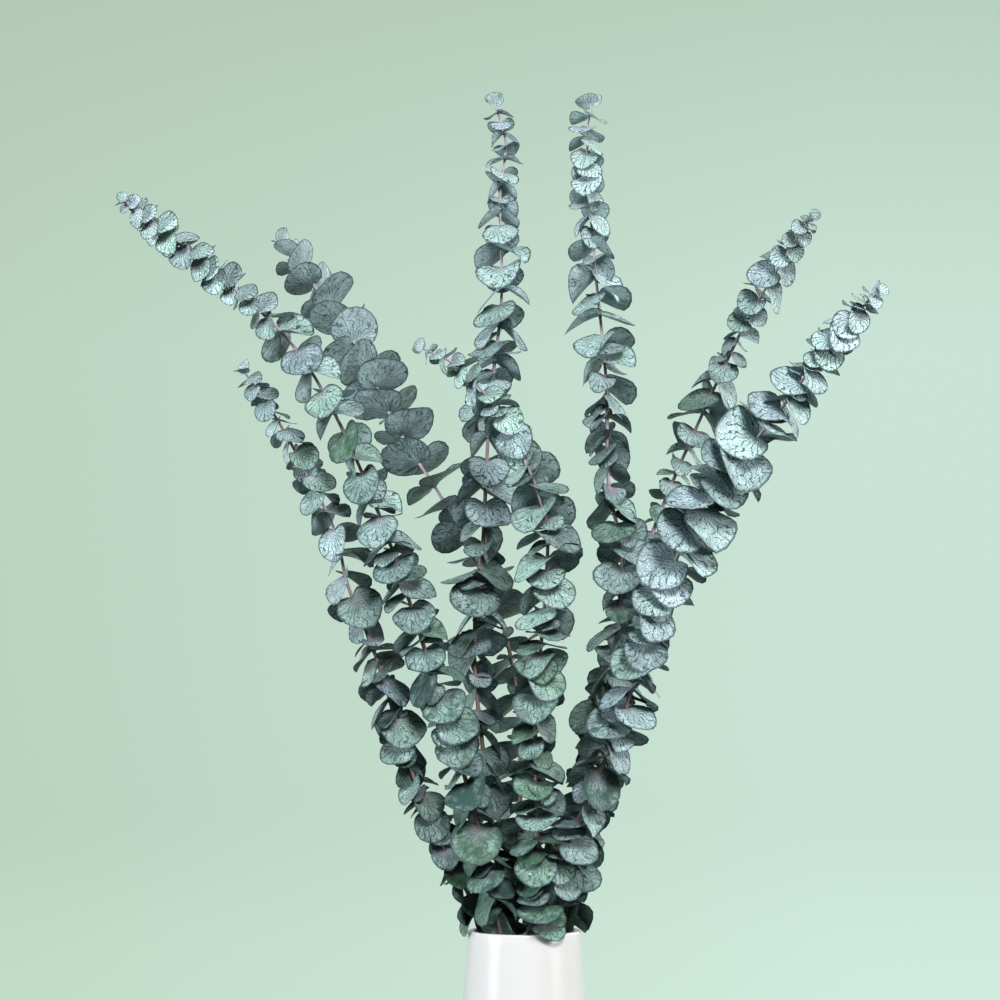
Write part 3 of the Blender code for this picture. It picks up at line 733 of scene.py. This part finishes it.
def leaf_points(stem, leaves, shapes):
    """Points of every leaf, and where each lies on its own blade.

    Edge: a circle about the middle of the blade, its radius less a bell-shaped notch at the root
    and plus a small one at the end, and two slow waves. Height: cup times the square across, curl
    times the square along, crease times the distance across, and a ripple that grows with the
    fourth power towards the edge.
    """
    lobe, point = shapes["lobe"][:, None], shapes["point"][:, None]
    phase, wave, ripple = shapes["phase"], shapes["wave"], shapes["ripple"]
    from_root = np.minimum(around, 2 * math.pi - around)[None, :]
    tip_radius = (FORWARD + lobe) / 2
    middle = (FORWARD - lobe) / 2
    notch = 1 - (1 - middle / tip_radius) * np.exp(-((from_root / 0.3) ** 2))
    end = point * np.exp(-(((math.pi - from_root) / 0.35) ** 2))
    waves = wave[:, :1] * np.sin(3 * around + phase[:, :1])
    waves = waves + wave[:, 1:] * np.sin(4 * around + phase[:, 1:2])
    waves = waves * (1 - np.exp(-((from_root / 0.6) ** 2)))
    radius = notch + end + waves + shapes["lopsided"][:, None] * np.sin(around)
    # (leaf, ring, point round): the rings lie between the middle and the edge
    count, rings = len(leaves), RINGS[None, :, None]
    across = (rings * (radius * np.sin(around) / 2)[:, None, :]).reshape(count, -1)
    inward = -rings * (tip_radius * radius * np.cos(around))[:, None, :]
    along = middle + inward.reshape(count, -1)
    # The middle comes first: nothing across, nothing out
    zero, each = np.zeros((count, 1)), np.ones((count, 1))
    across, along = np.hstack([zero, across]), np.hstack([middle, along])
    out = np.hstack([zero, each * np.repeat(RINGS, EDGE_POINTS)])
    angle = np.hstack([zero, each * np.tile(around, len(RINGS))])
    cup, curl, width = (
        np.array([leaf[key] for leaf in leaves])[:, None] for key in ("cup", "curl", "width")
    )
    bent = cup * across**2 + curl * along**2 + shapes["crease"][:, None] * np.abs(across)
    rippled = ripple[:, :1] * np.sin(2 * angle + phase[:, 2:3])
    rippled = rippled + ripple[:, 1:] * np.sin(3 * angle + phase[:, 3:])
    height = width * (bent + rippled * out**4)
    lens = BLADE_THICKNESS / 2 * (1 - out**3)
    upper_side = np.stack([across * width, along * width, height + lens], axis=-1)
    lower_side = np.stack([across * width, along * width, height - lens], axis=-1)[:, :-EDGE_POINTS]
    local = np.concatenate([upper_side, lower_side], axis=1)
    out = np.concatenate([out, out[:, :-EDGE_POINTS]], axis=1)
    axes = np.array([placed_axes(stem, leaf) for leaf in leaves])
    root, across_axis, along_axis, upper_axis = (axes[:, None, i, :] for i in range(4))
    places = root + local[..., :1] * across_axis + local[..., 1:2] * along_axis
    places = places + local[..., 2:] * upper_axis
    on_blade = np.stack([local[..., 0] / MM, local[..., 1] / MM, out], axis=-1)
    return places, on_blade


def placed_axes(stem, leaf):
    """The leaf's axes, its root moved from the solid's straight lengths to the smooth curve."""
    root, along, across, upper = leaf_axes(stem, leaf)
    root = root + stem.curve_at(leaf["distance"]) - stem.at(leaf["distance"])
    return np.array([root, across, along, upper])


# %% [markdown]
# ## Putting a surface into a mesh
#
# Blender takes whole arrays of points and faces at once. Two small attributes travel with every
# point of a leaf: `blade` says where on the blade it is, in millimetres from the root, and how near
# the edge; `growth` says what kind of leaf it is, its wax, green and blush, where less wax low down
# is partly painted shade. The finishes read both, so veins can spread from the root.


# %% Meshes from arrays
def object_from(name, points, faces, materials):
    """An object with one mesh: points and blocks of faces go in as they are, shaded smooth."""
    mesh = bpy.data.meshes.new(name)
    every_face = [face for block in faces for face in block.tolist()]
    mesh.from_pydata(points.reshape(-1, 3).tolist(), [], every_face)
    mesh.shade_smooth()
    for material in materials:
        mesh.materials.append(material)
    piece = bpy.data.objects.new(name, mesh)
    bpy.context.scene.collection.objects.link(piece)
    return piece


def piece_from(name, points, faces, materials):
    """An object that rides on the model."""
    piece = object_from(name, points, faces, materials)
    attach(piece, "root")
    return piece


def note(piece, name, values):
    """Store a vector per point on the piece, for its finish to read."""
    attribute = piece.data.attributes.new(name, "FLOAT_VECTOR", "POINT")
    attribute.data.foreach_set("vector", np.ascontiguousarray(values, np.float32).ravel())


# %% The leaves of one branch as one piece
def make_leaves(name, materials):
    """All leaves of a branch: the shared faces, repeated with each leaf's first point added."""
    stem, leaves = stems[name], grown[name]
    branch = BRANCHES[name]
    shapes = leaf_shapes(leaves, branch["seed"])
    places, on_blade = leaf_points(stem, leaves, shapes)
    first = (np.arange(len(leaves)) * LEAF_POINTS)[:, None, None]
    shared = (FAN, QUADS, LOWER_FAN, LOWER_QUADS)
    blocks = [(faces[None] + first).reshape(-1, faces.shape[1]) for faces in shared]
    piece = piece_from(name.replace("branch", "leaves"), places, blocks, materials)
    sizes = [len(block) for block in blocks]
    side = np.repeat([0, 0, 1, 1], sizes).astype(np.int32)
    piece.data.polygons.foreach_set("material_index", side)
    mark_rim(piece)
    draw = np.random.default_rng(branch["seed"] + 1000)
    # Wax thins from the tip down to the vase: partly bloom that older leaves lose, partly painted
    # shade that darkens the crowded base
    at_tip, at_vase_with_shade = branch["frost"]
    age = np.array([leaf["distance"] for leaf in leaves]) / stem.distance_at_height(VASE_HEIGHT)
    frost = np.clip(at_tip + (at_vase_with_shade - at_tip) * age + draw.normal(0, 0.13, len(leaves)), 0, 1)
    green = np.clip(draw.normal(branch["green"] + 0.15 * age, 0.2, len(leaves)), 0, 1)
    blush = np.clip(draw.normal(0.25, 0.3, len(leaves)), 0, 1)
    growth = np.stack([frost, green, blush], axis=-1)[:, None, :] * np.ones((1, LEAF_POINTS, 1))
    note(piece, "blade", on_blade)
    note(piece, "growth", growth)
    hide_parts(name)
    return piece


def mark_rim(piece):
    """The edge that both sides of a blade share is sharp: both its ends are on the rim."""
    mesh = piece.data
    pairs = np.empty(len(mesh.edges) * 2, np.int32)
    mesh.edges.foreach_get("vertices", pairs)
    within = pairs.reshape(-1, 2) % LEAF_POINTS
    rim = (within >= UPPER_COUNT - EDGE_POINTS) & (within < UPPER_COUNT)
    sharp = mesh.attributes.get("sharp_edge")
    sharp = sharp or mesh.attributes.new("sharp_edge", "BOOLEAN", "EDGE")
    sharp.data.foreach_set("value", rim.all(axis=1))


# %% [markdown]
# ## The stems
#
# Young eucalyptus wood is nearly round and swells a little where a pair of leaves clasps it. A
# curve with a bevel would make a plain tube. Here the tube is a grid of rings along the smooth
# path, so that each ring can have its own radius: the taper, a low swelling at every node and a
# slight unevenness.

# %% A stem as rings along its curve
STEM_ROUND = 10
RING_STEP = 2.5 * MM
# The round stem is a little thinner than the squared one, and swells by this share at a node
ROUND_STEM_SHARE = 0.92
NODE_SWELLING = 0.22
NODE_HALF_LENGTH = 1.8 * MM
UNEVEN_MARKS = 60
# The last rings at the tip and at the cut end are drawn in to these shares
END_RINGS = [0.3, 0.96]


def make_stem(name, material):
    """Rings across the curve: radius = taper x (1 + bell at each node), rounded at both ends."""
    stem, leaves = stems[name], grown[name]
    count = int(stem.length / RING_STEP)
    distance = np.linspace(0, stem.length, count)
    places = stem.curve_at(distance)
    ahead = np.gradient(places, axis=0)
    grow = -ahead / np.linalg.norm(ahead, axis=1)[:, None]
    front = np.array([0, -1, 0]) + grow * grow[:, 1:2]
    front = front / np.linalg.norm(front, axis=1)[:, None]
    right = np.cross(grow, front)
    nodes = np.array([leaf["distance"] for leaf in leaves])
    swelling = np.exp(-(((distance[:, None] - nodes) / NODE_HALF_LENGTH) ** 2)).max(axis=1)
    draw = np.random.default_rng(BRANCHES[name]["seed"] + 2000)
    marks = np.linspace(0, stem.length, UNEVEN_MARKS)
    uneven = np.interp(distance, marks, draw.uniform(0.94, 1.06, UNEVEN_MARKS))
    radius = stem.radius(distance) * ROUND_STEM_SHARE * uneven * (1 + NODE_SWELLING * swelling)
    radius[[0, -1]] *= END_RINGS
    angles = np.linspace(0, 2 * math.pi, STEM_ROUND, endpoint=False)
    cosine, sine = np.cos(angles)[None, :, None], np.sin(angles)[None, :, None]
    outward = cosine * front[:, None] + sine * right[:, None]
    rings = places[:, None] + radius[:, None, None] * outward
    points = np.vstack([rings.reshape(-1, 3), places[[0, -1]]])
    tip, cut = len(points) - 2, len(points) - 1
    first = np.arange(STEM_ROUND)
    last = first + (count - 1) * STEM_ROUND
    # The rings run downwards, so the quads and the cut end are turned over to face out
    faces = [
        ring_quads(count, STEM_ROUND)[:, ::-1],
        fan(tip, first),
        fan(cut, last)[:, [0, 2, 1]],
    ]
    piece = piece_from(name.replace("branch", "stem"), points, faces, [material])
    down = np.concatenate([np.repeat(distance, STEM_ROUND), [0, stem.length]])
    note(piece, "bark", np.outer(down / stem.length, [1, 0, 0]))
    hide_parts(name)
    return piece


# %% [markdown]
# ## The vase
#
# A slip-cast or thrown vase is a turned form, so one profile carried round the axis makes it. The
# Screw modifier could turn it; a grid of points does the same and lets the lip and the foot be true
# arcs. The foot stands on a narrow ring that is left bare of glaze, as a kiln shelf needs.

# %% The profile and the turned surface
VASE_ROUND = 120
# The arc that the outer wall ends in, the bare ring it stands on, and the arc inside above the
# floor
FOOT_ARC = 2.4 * MM
FOOT_RING = (9 * MM, 9.6 * MM, 11 * MM)
FOOT_RECESS = 1.2 * MM
INNER_ARC = 6 * MM


def arc(centre, radius, start, end, count):
    """Points on an arc: centre plus radius times cosine and sine, from one angle to another."""
    angles = np.radians(np.linspace(start, end, count))
    return [(centre[0] + radius * math.cos(a), centre[1] + radius * math.sin(a)) for a in angles]


def fine_profile():
    """From the middle of the underside out, up the wall, over the lip and down the inside."""
    lean = (FOOT_RADIUS - MOUTH_RADIUS) / VASE_HEIGHT
    tilt = math.degrees(math.atan(lean))
    foot, lip, top = FOOT_ARC, LIP_ROUNDING, VASE_HEIGHT - LIP_ROUNDING
    low = FLOOR + INNER_ARC
    inner_foot = FOOT_RADIUS - WALL - lean * FLOOR
    ring_inside, slope_start, slope_end = (FOOT_RADIUS - width for width in FOOT_RING)

    def wall(heights, depth):
        """Points at these heights, this deep behind the wall's outer side."""
        return [(FOOT_RADIUS - lean * z - depth, z) for z in heights]

    outer_top, inner_top = wall([top], lip)[0], wall([top], WALL - lip)[0]
    points = [(0, FOOT_RECESS), (slope_end, FOOT_RECESS), (slope_start, 0.3 * MM)]
    points += [(ring_inside, 0), (FOOT_RADIUS - foot, 0)]
    points += arc(wall([foot], foot)[0], foot, -90, tilt, 8)[1:]
    points += wall(np.linspace(foot, top, 30)[1:-1], 0)
    points += arc(outer_top, lip, tilt, 90, 7)
    points += arc(inner_top, lip, 90, 180 + tilt, 7)
    points += wall(np.linspace(top, low, 24)[1:-1], WALL)
    points += arc((inner_foot - INNER_ARC, low), INNER_ARC, 0, -90, 6)
    return points + [(0, FLOOR)]


def make_vase(material):
    """The profile turned about the axis, closed by a fan below and one on the floor inside."""
    profile = fine_profile()
    between = np.array(profile[1:-1])
    middles = [[0, 0, profile[0][1]], [0, 0, profile[-1][1]]]
    points = np.vstack([turned(between, VASE_ROUND), middles])
    first = np.arange(VASE_ROUND)
    last = first + (len(between) - 1) * VASE_ROUND
    faces = [
        ring_quads(len(between), VASE_ROUND),
        fan(len(points) - 2, first)[:, [0, 2, 1]],
        fan(len(points) - 1, last),
    ]
    piece = piece_from("vase_turned", points, faces, [material])
    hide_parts("vase")
    return piece


# %% [markdown]
# ## Finishes
#
# Colours are written as the sRGB hex values that a designer would read off a swatch, and one
# function turns them to the linear light that the renderer adds up. One small function adds a node,
# sets it and links it, so each finish below can be read from top to bottom.


# %% Colours, and a helper that adds a node
def colour(hex_value):
    """sRGB hex to linear light: below 0.04045 a 12.92nd part, above it a power of 2.4."""
    srgb = np.array([int(hex_value[i : i + 2], 16) / 255 for i in (1, 3, 5)])
    linear = np.where(srgb <= 0.04045, srgb / 12.92, ((srgb + 0.055) / 1.055) ** 2.4)
    return (*linear.tolist(), 1.0)


def add(tree, kind, inputs=None, **settings):
    """A node with its settings; each input is either a value or the socket that feeds it."""
    node = tree.nodes.new(kind)
    for key, value in settings.items():
        setattr(node, key, value)
    for key, value in (inputs or {}).items():
        if isinstance(value, bpy.types.NodeSocket):
            tree.links.new(value, node.inputs[key])
        else:
            node.inputs[key].default_value = value
    return node


# %% Short forms for the nodes that come again and again
def calc(tree, operation, *inputs, clamp=False):
    """Arithmetic on one to three numbers; a clamped result is kept from 0 to 1."""
    inputs = dict(enumerate(inputs))
    return add(tree, "ShaderNodeMath", inputs, operation=operation, use_clamp=clamp).outputs[0]


def mapped(tree, value, low, high, start=0, end=1):
    """A straight slope: start where the value is low, end where it is high, level beyond them."""
    inputs = {"Value": value, "From Min": low, "From Max": high, "To Min": start, "To Max": end}
    return add(tree, "ShaderNodeMapRange", inputs).outputs[0]


def mixed(tree, share, first, second):
    """Two colours, as hex or sockets: the first where the share is 0, the second where it is 1."""
    first, second = (colour(end) if isinstance(end, str) else end for end in (first, second))
    inputs = {0: share, 6: first, 7: second}
    return add(tree, "ShaderNodeMix", inputs, data_type="RGBA").outputs[2]


def noise(tree, place, scale, detail, roughness=0.5):
    """A noise with this many swells in a metre: its value comes first, then its colour."""
    inputs = {"Vector": place, "Scale": scale, "Detail": detail, "Roughness": roughness}
    return add(tree, "ShaderNodeTexNoise", inputs).outputs


def place_on_model(tree):
    """Where a point is in the model's own space."""
    return add(tree, "ShaderNodeTexCoord").outputs["Object"]


def numbers(tree, vector):
    """The three numbers of a vector."""
    return add(tree, "ShaderNodeSeparateXYZ", {0: vector}).outputs


def length(tree, vector):
    """How long a vector is."""
    return add(tree, "ShaderNodeVectorMath", {0: vector}, operation="LENGTH").outputs["Value"]


# %% The start and the end of every finish
def start_finish(name):
    """A new material that has no nodes yet, and its node tree."""
    material = bpy.data.materials.new(name)
    material.use_nodes = True
    material.node_tree.nodes.clear()
    return material, material.node_tree


def coat(tree, inputs, relief, depth, strength, invert=False):
    """The surface itself, with a relief this deep that bends the light; inverted, it is grooves."""
    inputs_of_bump = {"Height": relief, "Distance": depth, "Strength": strength}
    bump = add(tree, "ShaderNodeBump", inputs_of_bump, invert=invert)
    shader = add(tree, "ShaderNodeBsdfPrincipled", {**inputs, "Normal": bump.outputs[0]})
    add(tree, "ShaderNodeOutputMaterial", {"Surface": shader.outputs[0]})


# %% [markdown]
# ### The upper side of a leaf
#
# The upper side is grey-green, covered with a thin white wax that a finger would rub off. Wax does
# not settle on the veins, so they show through as a fine dark net of cells about 1.8 mm wide, with
# stronger veins that spread from the root. An image of a leaf could be used, but every copy would
# be the same. The net is a pattern in space instead, so no two leaves are alike.

# %% Sizes of the leaf's pattern
PATCHES_PER_METRE = 110
CELLS_PER_METRE = 560
CELL_BENDS_PER_METRE = 250
CELL_BEND = 1.3 * MM
VEIN_SWAYS_PER_METRE = 160
VEIN_SWAY = 0.7
# Half the number of veins in a full circle: one every 16 degrees
VEIN_WAVES = 11
GRAINS_PER_METRE = 1100
GROOVE_DEPTH = 0.2 * MM


# %% Veins and wax cells, for both sides of a leaf
def leaf_pattern(tree):
    """Sockets that both sides use: net, veins from the root, patches, and the attributes."""
    place = place_on_model(tree)
    blade = add(tree, "ShaderNodeAttribute", attribute_name="blade").outputs["Vector"]
    growth = add(tree, "ShaderNodeAttribute", attribute_name="growth").outputs["Vector"]
    across, along, to_rim = numbers(tree, blade)
    frost, green, blush = numbers(tree, growth)
    # Patches of 9 mm where the wax lies thick or thin, ragged down to half a millimetre
    patch = noise(tree, place, PATCHES_PER_METRE, 5, 0.62)[0]
    # Cells 1.8 mm wide, their walls bent by a noise of 4 mm
    bend = noise(tree, place, CELL_BENDS_PER_METRE, 2)[1]
    bent = add(tree, "ShaderNodeVectorMath", {0: bend, 1: [CELL_BEND] * 3, 2: place},
               operation="MULTIPLY_ADD").outputs[0]
    cells = add(tree, "ShaderNodeTexVoronoi", {"Vector": bent, "Scale": CELLS_PER_METRE},
                feature="DISTANCE_TO_EDGE").outputs["Distance"]
    net = mapped(tree, cells, 0.02, 0.16, 1, 0)
    # Veins round the root, swaying a little, fainter over the first 22 mm
    sway = noise(tree, place, VEIN_SWAYS_PER_METRE, 1)[0]
    angle = calc(tree, "MULTIPLY_ADD", sway, VEIN_SWAY, calc(tree, "ARCTAN2", across, along))
    wave = calc(tree, "ABSOLUTE", calc(tree, "SINE", calc(tree, "MULTIPLY", angle, VEIN_WAVES)))
    reach = length(tree, blade)
    fade = mapped(tree, reach, 4, 22, 1, 0.7)
    veins = calc(tree, "MULTIPLY", mapped(tree, wave, 0.06, 0.42, 1, 0), fade)
    return {"place": place, "patch": patch, "net": net, "veins": veins, "reach": reach,
            "to_rim": to_rim, "frost": frost, "green": green, "blush": blush}


# %% Waxy eucalyptus leaf, upper side
def waxy_leaf():
    """Waxed leaf, upper side: cells of wax between veins, matte, with a lilac flush at the root."""
    material, tree = start_finish("waxy_eucalyptus_leaf_upper")
    leaf = leaf_pattern(tree)
    # Speckle of 0.9 mm where the wax is rubbed
    speckle = mapped(tree, noise(tree, leaf["place"], GRAINS_PER_METRE, 2)[0], 0.42, 0.64)
    # How much wax: the leaf's own share, lower near the vase partly as painted shade, and its
    # patches, less what net, speckle and veins lay bare
    patches = calc(tree, "MULTIPLY_ADD", leaf["patch"], 1.3, -0.65)
    wax = calc(tree, "ADD", patches, leaf["frost"], clamp=True)
    bare = calc(tree, "MULTIPLY_ADD", speckle, 0.3, calc(tree, "MULTIPLY", leaf["net"], 0.48))
    bare = calc(tree, "ADD", leaf["veins"], bare, clamp=True)
    wax = calc(tree, "MULTIPLY", wax, calc(tree, "SUBTRACT", 1, bare))
    # Colours: leaf flesh from slate to green, wax over it, lilac at the root, and a painted dark
    # rim that stands in for shade along the edge
    flesh = mixed(tree, leaf["green"], "#273B40", "#2F5037")
    frost = mixed(tree, leaf["green"], "#CAE3EB", "#BFE3DA")
    flush = calc(tree, "MULTIPLY", mapped(tree, leaf["reach"], 0, 11, 0.75, 0), leaf["blush"])
    tinted = mixed(tree, flush, mixed(tree, wax, flesh, frost), "#8F7F96")
    # The outer tenth of the blade is darkened: painted shade along the edge
    with_painted_rim_shade = mixed(tree, mapped(tree, leaf["to_rim"], 0.88, 0.97, 0, 0.9), tinted, "#26383B")
    # Veins and net are shallow grooves
    grooves = calc(tree, "MULTIPLY_ADD", leaf["veins"], 0.8, leaf["net"])
    inputs = {"Base Color": with_painted_rim_shade, "Roughness": 0.62, "Specular IOR Level": 0.3}
    coat(tree, inputs, grooves, GROOVE_DEPTH, 0.6, invert=True)
    return material


# %% [markdown]
# ### The underside of a leaf
#
# The underside is darker and plainer: slate with little wax, where the same veins stand out as low
# ribs. It is what makes the bunch read as leaves and not as coins, because half of all leaves show
# it.


# %% Slate underside
def slate_underside():
    """Leaf underside: dark grey-green, smooth and matte, with faint veins and a thin rim of painted
    shade.
    """
    material, tree = start_finish("eucalyptus_leaf_underside")
    leaf = leaf_pattern(tree)
    # Paler with more wax, so darker near the vase, partly as painted shade
    pale = calc(tree, "MULTIPLY_ADD", leaf["patch"], 1.1, -0.4)
    pale = calc(tree, "MULTIPLY_ADD", leaf["frost"], 0.7, pale)
    pale = calc(tree, "MULTIPLY_ADD", leaf["net"], -0.28, pale)
    pale = calc(tree, "MULTIPLY_ADD", leaf["veins"], -0.5, pale, clamp=True)
    base = mixed(tree, pale, mixed(tree, leaf["green"], "#30434A", "#344E3C"), "#AFC6C9")
    # The outer tenth of the blade is darkened: painted shade along the edge
    with_painted_rim_shade = mixed(tree, mapped(tree, leaf["to_rim"], 0.9, 0.98, 0, 0.8), base, "#2C3F42")
    inputs = {"Base Color": with_painted_rim_shade, "Roughness": 0.55, "Specular IOR Level": 0.3}
    coat(tree, inputs, leaf["veins"], GROOVE_DEPTH, 0.5)
    return material


# %% [markdown]
# ### Young bark
#
# Fresh growth is lilac and waxed, and turns pink-brown, then brown, on the way down as bark forms.
# The `bark` attribute carries how far down a point is, so the colours follow each stem.

# %% Young eucalyptus bark
BARK_COLOURS = [(0.25, "#9A93A0"), (0.5, "#9C8C9A"), (0.78, "#786461"), (1.0, "#574640")]


def young_bark():
    """Young bark: lilac near the tip to red-brown and dark brown below, with lengthwise streaks."""
    material, tree = start_finish("young_eucalyptus_bark")
    place = place_on_model(tree)
    bark = add(tree, "ShaderNodeAttribute", attribute_name="bark").outputs["Vector"]
    lengthwise = {"Vector": place, "Scale": (1, 1, 0.15)}
    streak = noise(tree, add(tree, "ShaderNodeMapping", lengthwise).outputs[0], 900, 3)[0]
    blotch = noise(tree, place, 45, 2)[0]
    age = calc(tree, "MULTIPLY_ADD", blotch, 0.5, numbers(tree, bark)[0])
    ramp = add(tree, "ShaderNodeValToRGB", {0: age})
    stops = ramp.color_ramp.elements
    stops[0].position, stops[1].position = BARK_COLOURS[0][0], BARK_COLOURS[-1][0]
    for position, _ in BARK_COLOURS[1:-1]:
        stops.new(position)
    for stop, (_, hex_value) in zip(stops, BARK_COLOURS):
        stop.color = colour(hex_value)
    base = mixed(tree, mapped(tree, streak, 0.35, 0.7, 0, 0.5), ramp.outputs[0], "#3B2B28")
    coat(tree, {"Base Color": base, "Roughness": 0.55}, streak, GROOVE_DEPTH, 0.5)
    return material


# %% [markdown]
# ### White glaze
#
# The vase is white earthenware under a clear, glossy glaze. A glaze is never quite flat: it pools
# in very low waves about 20 mm long, which only show where a highlight runs over them. The foot
# ring is bare clay.


# %% White glazed ceramic
def white_glaze():
    """White ceramic: near-white, glossy, softly uneven, with bare matte clay at the foot ring."""
    material, tree = start_finish("white_glazed_ceramic")
    place = place_on_model(tree)
    # Clay up to 0.9 mm above the table, glaze from 1.3 mm
    bare = mapped(tree, numbers(tree, place)[2], 0.9 * MM, 1.3 * MM, 1, 0)
    base = mixed(tree, bare, "#C0BFBE", "#AEA79B")
    rough = mapped(tree, bare, 0, 1, 0.22, 0.85)
    inputs = {"Base Color": base, "Roughness": rough, "IOR": 1.52}
    coat(tree, inputs, noise(tree, place, 45, 1)[0], 0.4 * MM, 0.35)
    return material


# %% [markdown]
# ## Putting the bunch together
#
# Each branch is two pieces, its leaves and its stem, and both stand for the same node of the model.

# %% Make every piece
leaf_finishes = [waxy_leaf(), slate_underside()]
bark_finish = young_bark()
pieces = [make_vase(white_glaze())]
for branch_name in BRANCHES:
    pieces.append(make_leaves(branch_name, leaf_finishes))
    pieces.append(make_stem(branch_name, bark_finish))
triangles = {
    piece.name: sum(len(face.vertices) - 2 for face in piece.data.polygons) for piece in pieces
}
print("triangles:", triangles)
print("triangles in all:", sum(triangles.values()))

# %% [markdown]
# ## The studio
#
# The bunch stands in front of a pale mint sweep: a floor that curves up into a wall with no line
# between them. A shallow bowl does that for every side one may look from. It shines a little by
# itself, which keeps it even, and is not seen by the light that falls on the leaves. Painted light
# makes it brighter to the right, and painted shade makes it duller high up.

# %% A seamless sweep all round, in metres
SWEEP_SIDES = 64
FLOOR_RINGS = [0.4, 1.2, 2.5]
SWEEP_FLAT = 4.2
SWEEP_CURVE = 2.2
SWEEP_TOP = 9.0


def make_sweep(material):
    """A flat disc, a quarter circle upwards and a straight wall, turned about the vase's axis."""
    rise = np.radians(np.linspace(0, 90, 16))
    curve = SWEEP_FLAT + SWEEP_CURVE * np.sin(rise)
    radius = np.concatenate([FLOOR_RINGS, curve, [SWEEP_FLAT + SWEEP_CURVE]])
    height = np.concatenate([[0, 0, 0], SWEEP_CURVE * (1 - np.cos(rise)), [SWEEP_TOP]])
    profile = np.stack([radius, height], axis=1)
    points = np.vstack([turned(profile, SWEEP_SIDES), [[0, 0, 0]]])
    quads = ring_quads(len(profile), SWEEP_SIDES)[:, ::-1]
    middle = fan(len(points) - 1, np.arange(SWEEP_SIDES))
    sweep = object_from("mint_sweep", points, [quads, middle], [material])
    sweep.visible_diffuse = False
    return sweep


def mint_paper():
    """Matte mint paper: brighter to the right as painted light, duller high up as painted shade,
    and less self-lit near the vase.

    Its slope runs with the place across, times 2.28 less a fifth of the place towards the back.
    """
    material, tree = start_finish("mint_background_paper")
    side, back, up = numbers(tree, place_on_model(tree))
    across = calc(tree, "MULTIPLY", side, calc(tree, "MULTIPLY_ADD", back, -0.2, 2.28))
    # Painted light and shade: brighter to the right as if lit from that side, duller high up
    level = mixed(tree, mapped(tree, across, -1.3, 0.7), "#BED6C3", "#CDE8DA")
    tint = mixed(tree, mapped(tree, up, 0.8, 1.8, 0, 0.8), level, "#AFC5B0")
    # Within a metre or so of the vase the paper takes more of the lights, and so of shadow
    away = length(tree, add(tree, "ShaderNodeCombineXYZ", {0: side, 1: back}).outputs[0])
    dim = mixed(tree, mapped(tree, away, 0.3, 1.2, 0.6, 0.9), tint, "#000000")
    strength = mapped(tree, away, 0.3, 1.2, 0.5, 0.925)
    paper = add(tree, "ShaderNodeBsdfDiffuse", {"Color": dim}).outputs[0]
    glow = add(tree, "ShaderNodeEmission", {"Color": tint, "Strength": strength}).outputs[0]
    both = add(tree, "ShaderNodeAddShader", {0: paper, 1: glow}).outputs[0]
    add(tree, "ShaderNodeOutputMaterial", {"Surface": both})
    return material


sweep = make_sweep(mint_paper())
print("sweep:", len(sweep.data.polygons), "faces")

# %% [markdown]
# ### Five soft lights
#
# A large key light stands high in front. A fill on the left and a side light on the right open the
# shadows, and two weaker ones behind give the bunch a thin bright edge and light its back.

# %% Soft lights: place and target in metres, size in metres, power in watts, tint
LIGHTS = {
    "key": ((0.6, -2.8, 2.2), (0.03, 0, 0.55), 0.9, 150, "#FFFFFF"),
    "fill": ((-2.5, -1.3, 0.9), (0, 0, 0.4), 1.0, 88, "#F4FAFF"),
    "side": ((2.5, -1.1, 0.9), (0, 0, 0.4), 1.0, 54, "#FFFFFF"),
    "back_left": ((-2.2, 1.9, 1.2), (0, 0, 0.4), 1.2, 42, "#F4FAFF"),
    "back_right": ((2.2, 1.9, 1.2), (0, 0, 0.4), 1.2, 42, "#FFFFFF"),
}


def soft_box(name, place, target, size, power, tint):
    """A square softbox at a place, aimed at a target."""
    light = bpy.data.lights.new(name, "AREA")
    light.shape, light.size = "SQUARE", size
    light.energy, light.color = power, colour(tint)[:3]
    lamp = bpy.data.objects.new(name, light)
    lamp.location = place
    lamp.rotation_euler = (Vector(target) - Vector(place)).to_track_quat("-Z", "Y").to_euler()
    bpy.context.scene.collection.objects.link(lamp)


for light_name, values in LIGHTS.items():
    soft_box(light_name, *values)
print("lights:", ", ".join(LIGHTS))

# %% A little light from everywhere
world = bpy.data.worlds.new("studio_air")
bpy.context.scene.world = world
world.use_nodes = True
air = world.node_tree.nodes["Background"].inputs
air["Color"].default_value = colour("#D8EAE2")
air["Strength"].default_value = 0.07
bpy.context.scene.view_settings.view_transform = "Standard"

# %% [markdown]
# ## The camera
#
# A long lens from a little over three metres, level with the middle of the bunch. The vase runs out
# of the bottom of the picture.

# %% Camera
PICTURE_WIDTH = 0.7
camera_data = bpy.data.cameras.new("camera")
camera_data.lens = camera_data.sensor_width * EYE_DISTANCE / PICTURE_WIDTH
camera_data.clip_start = 0.1
camera = bpy.data.objects.new("camera", camera_data)
camera.location = (EYE_SIDE, -EYE_DISTANCE, VASE_HEIGHT + EYE_ABOVE_MOUTH)
camera.rotation_euler = (math.radians(90), 0, 0)
bpy.context.scene.collection.objects.link(camera)
bpy.context.scene.camera = camera
print("lens in mm:", round(camera_data.lens, 1))
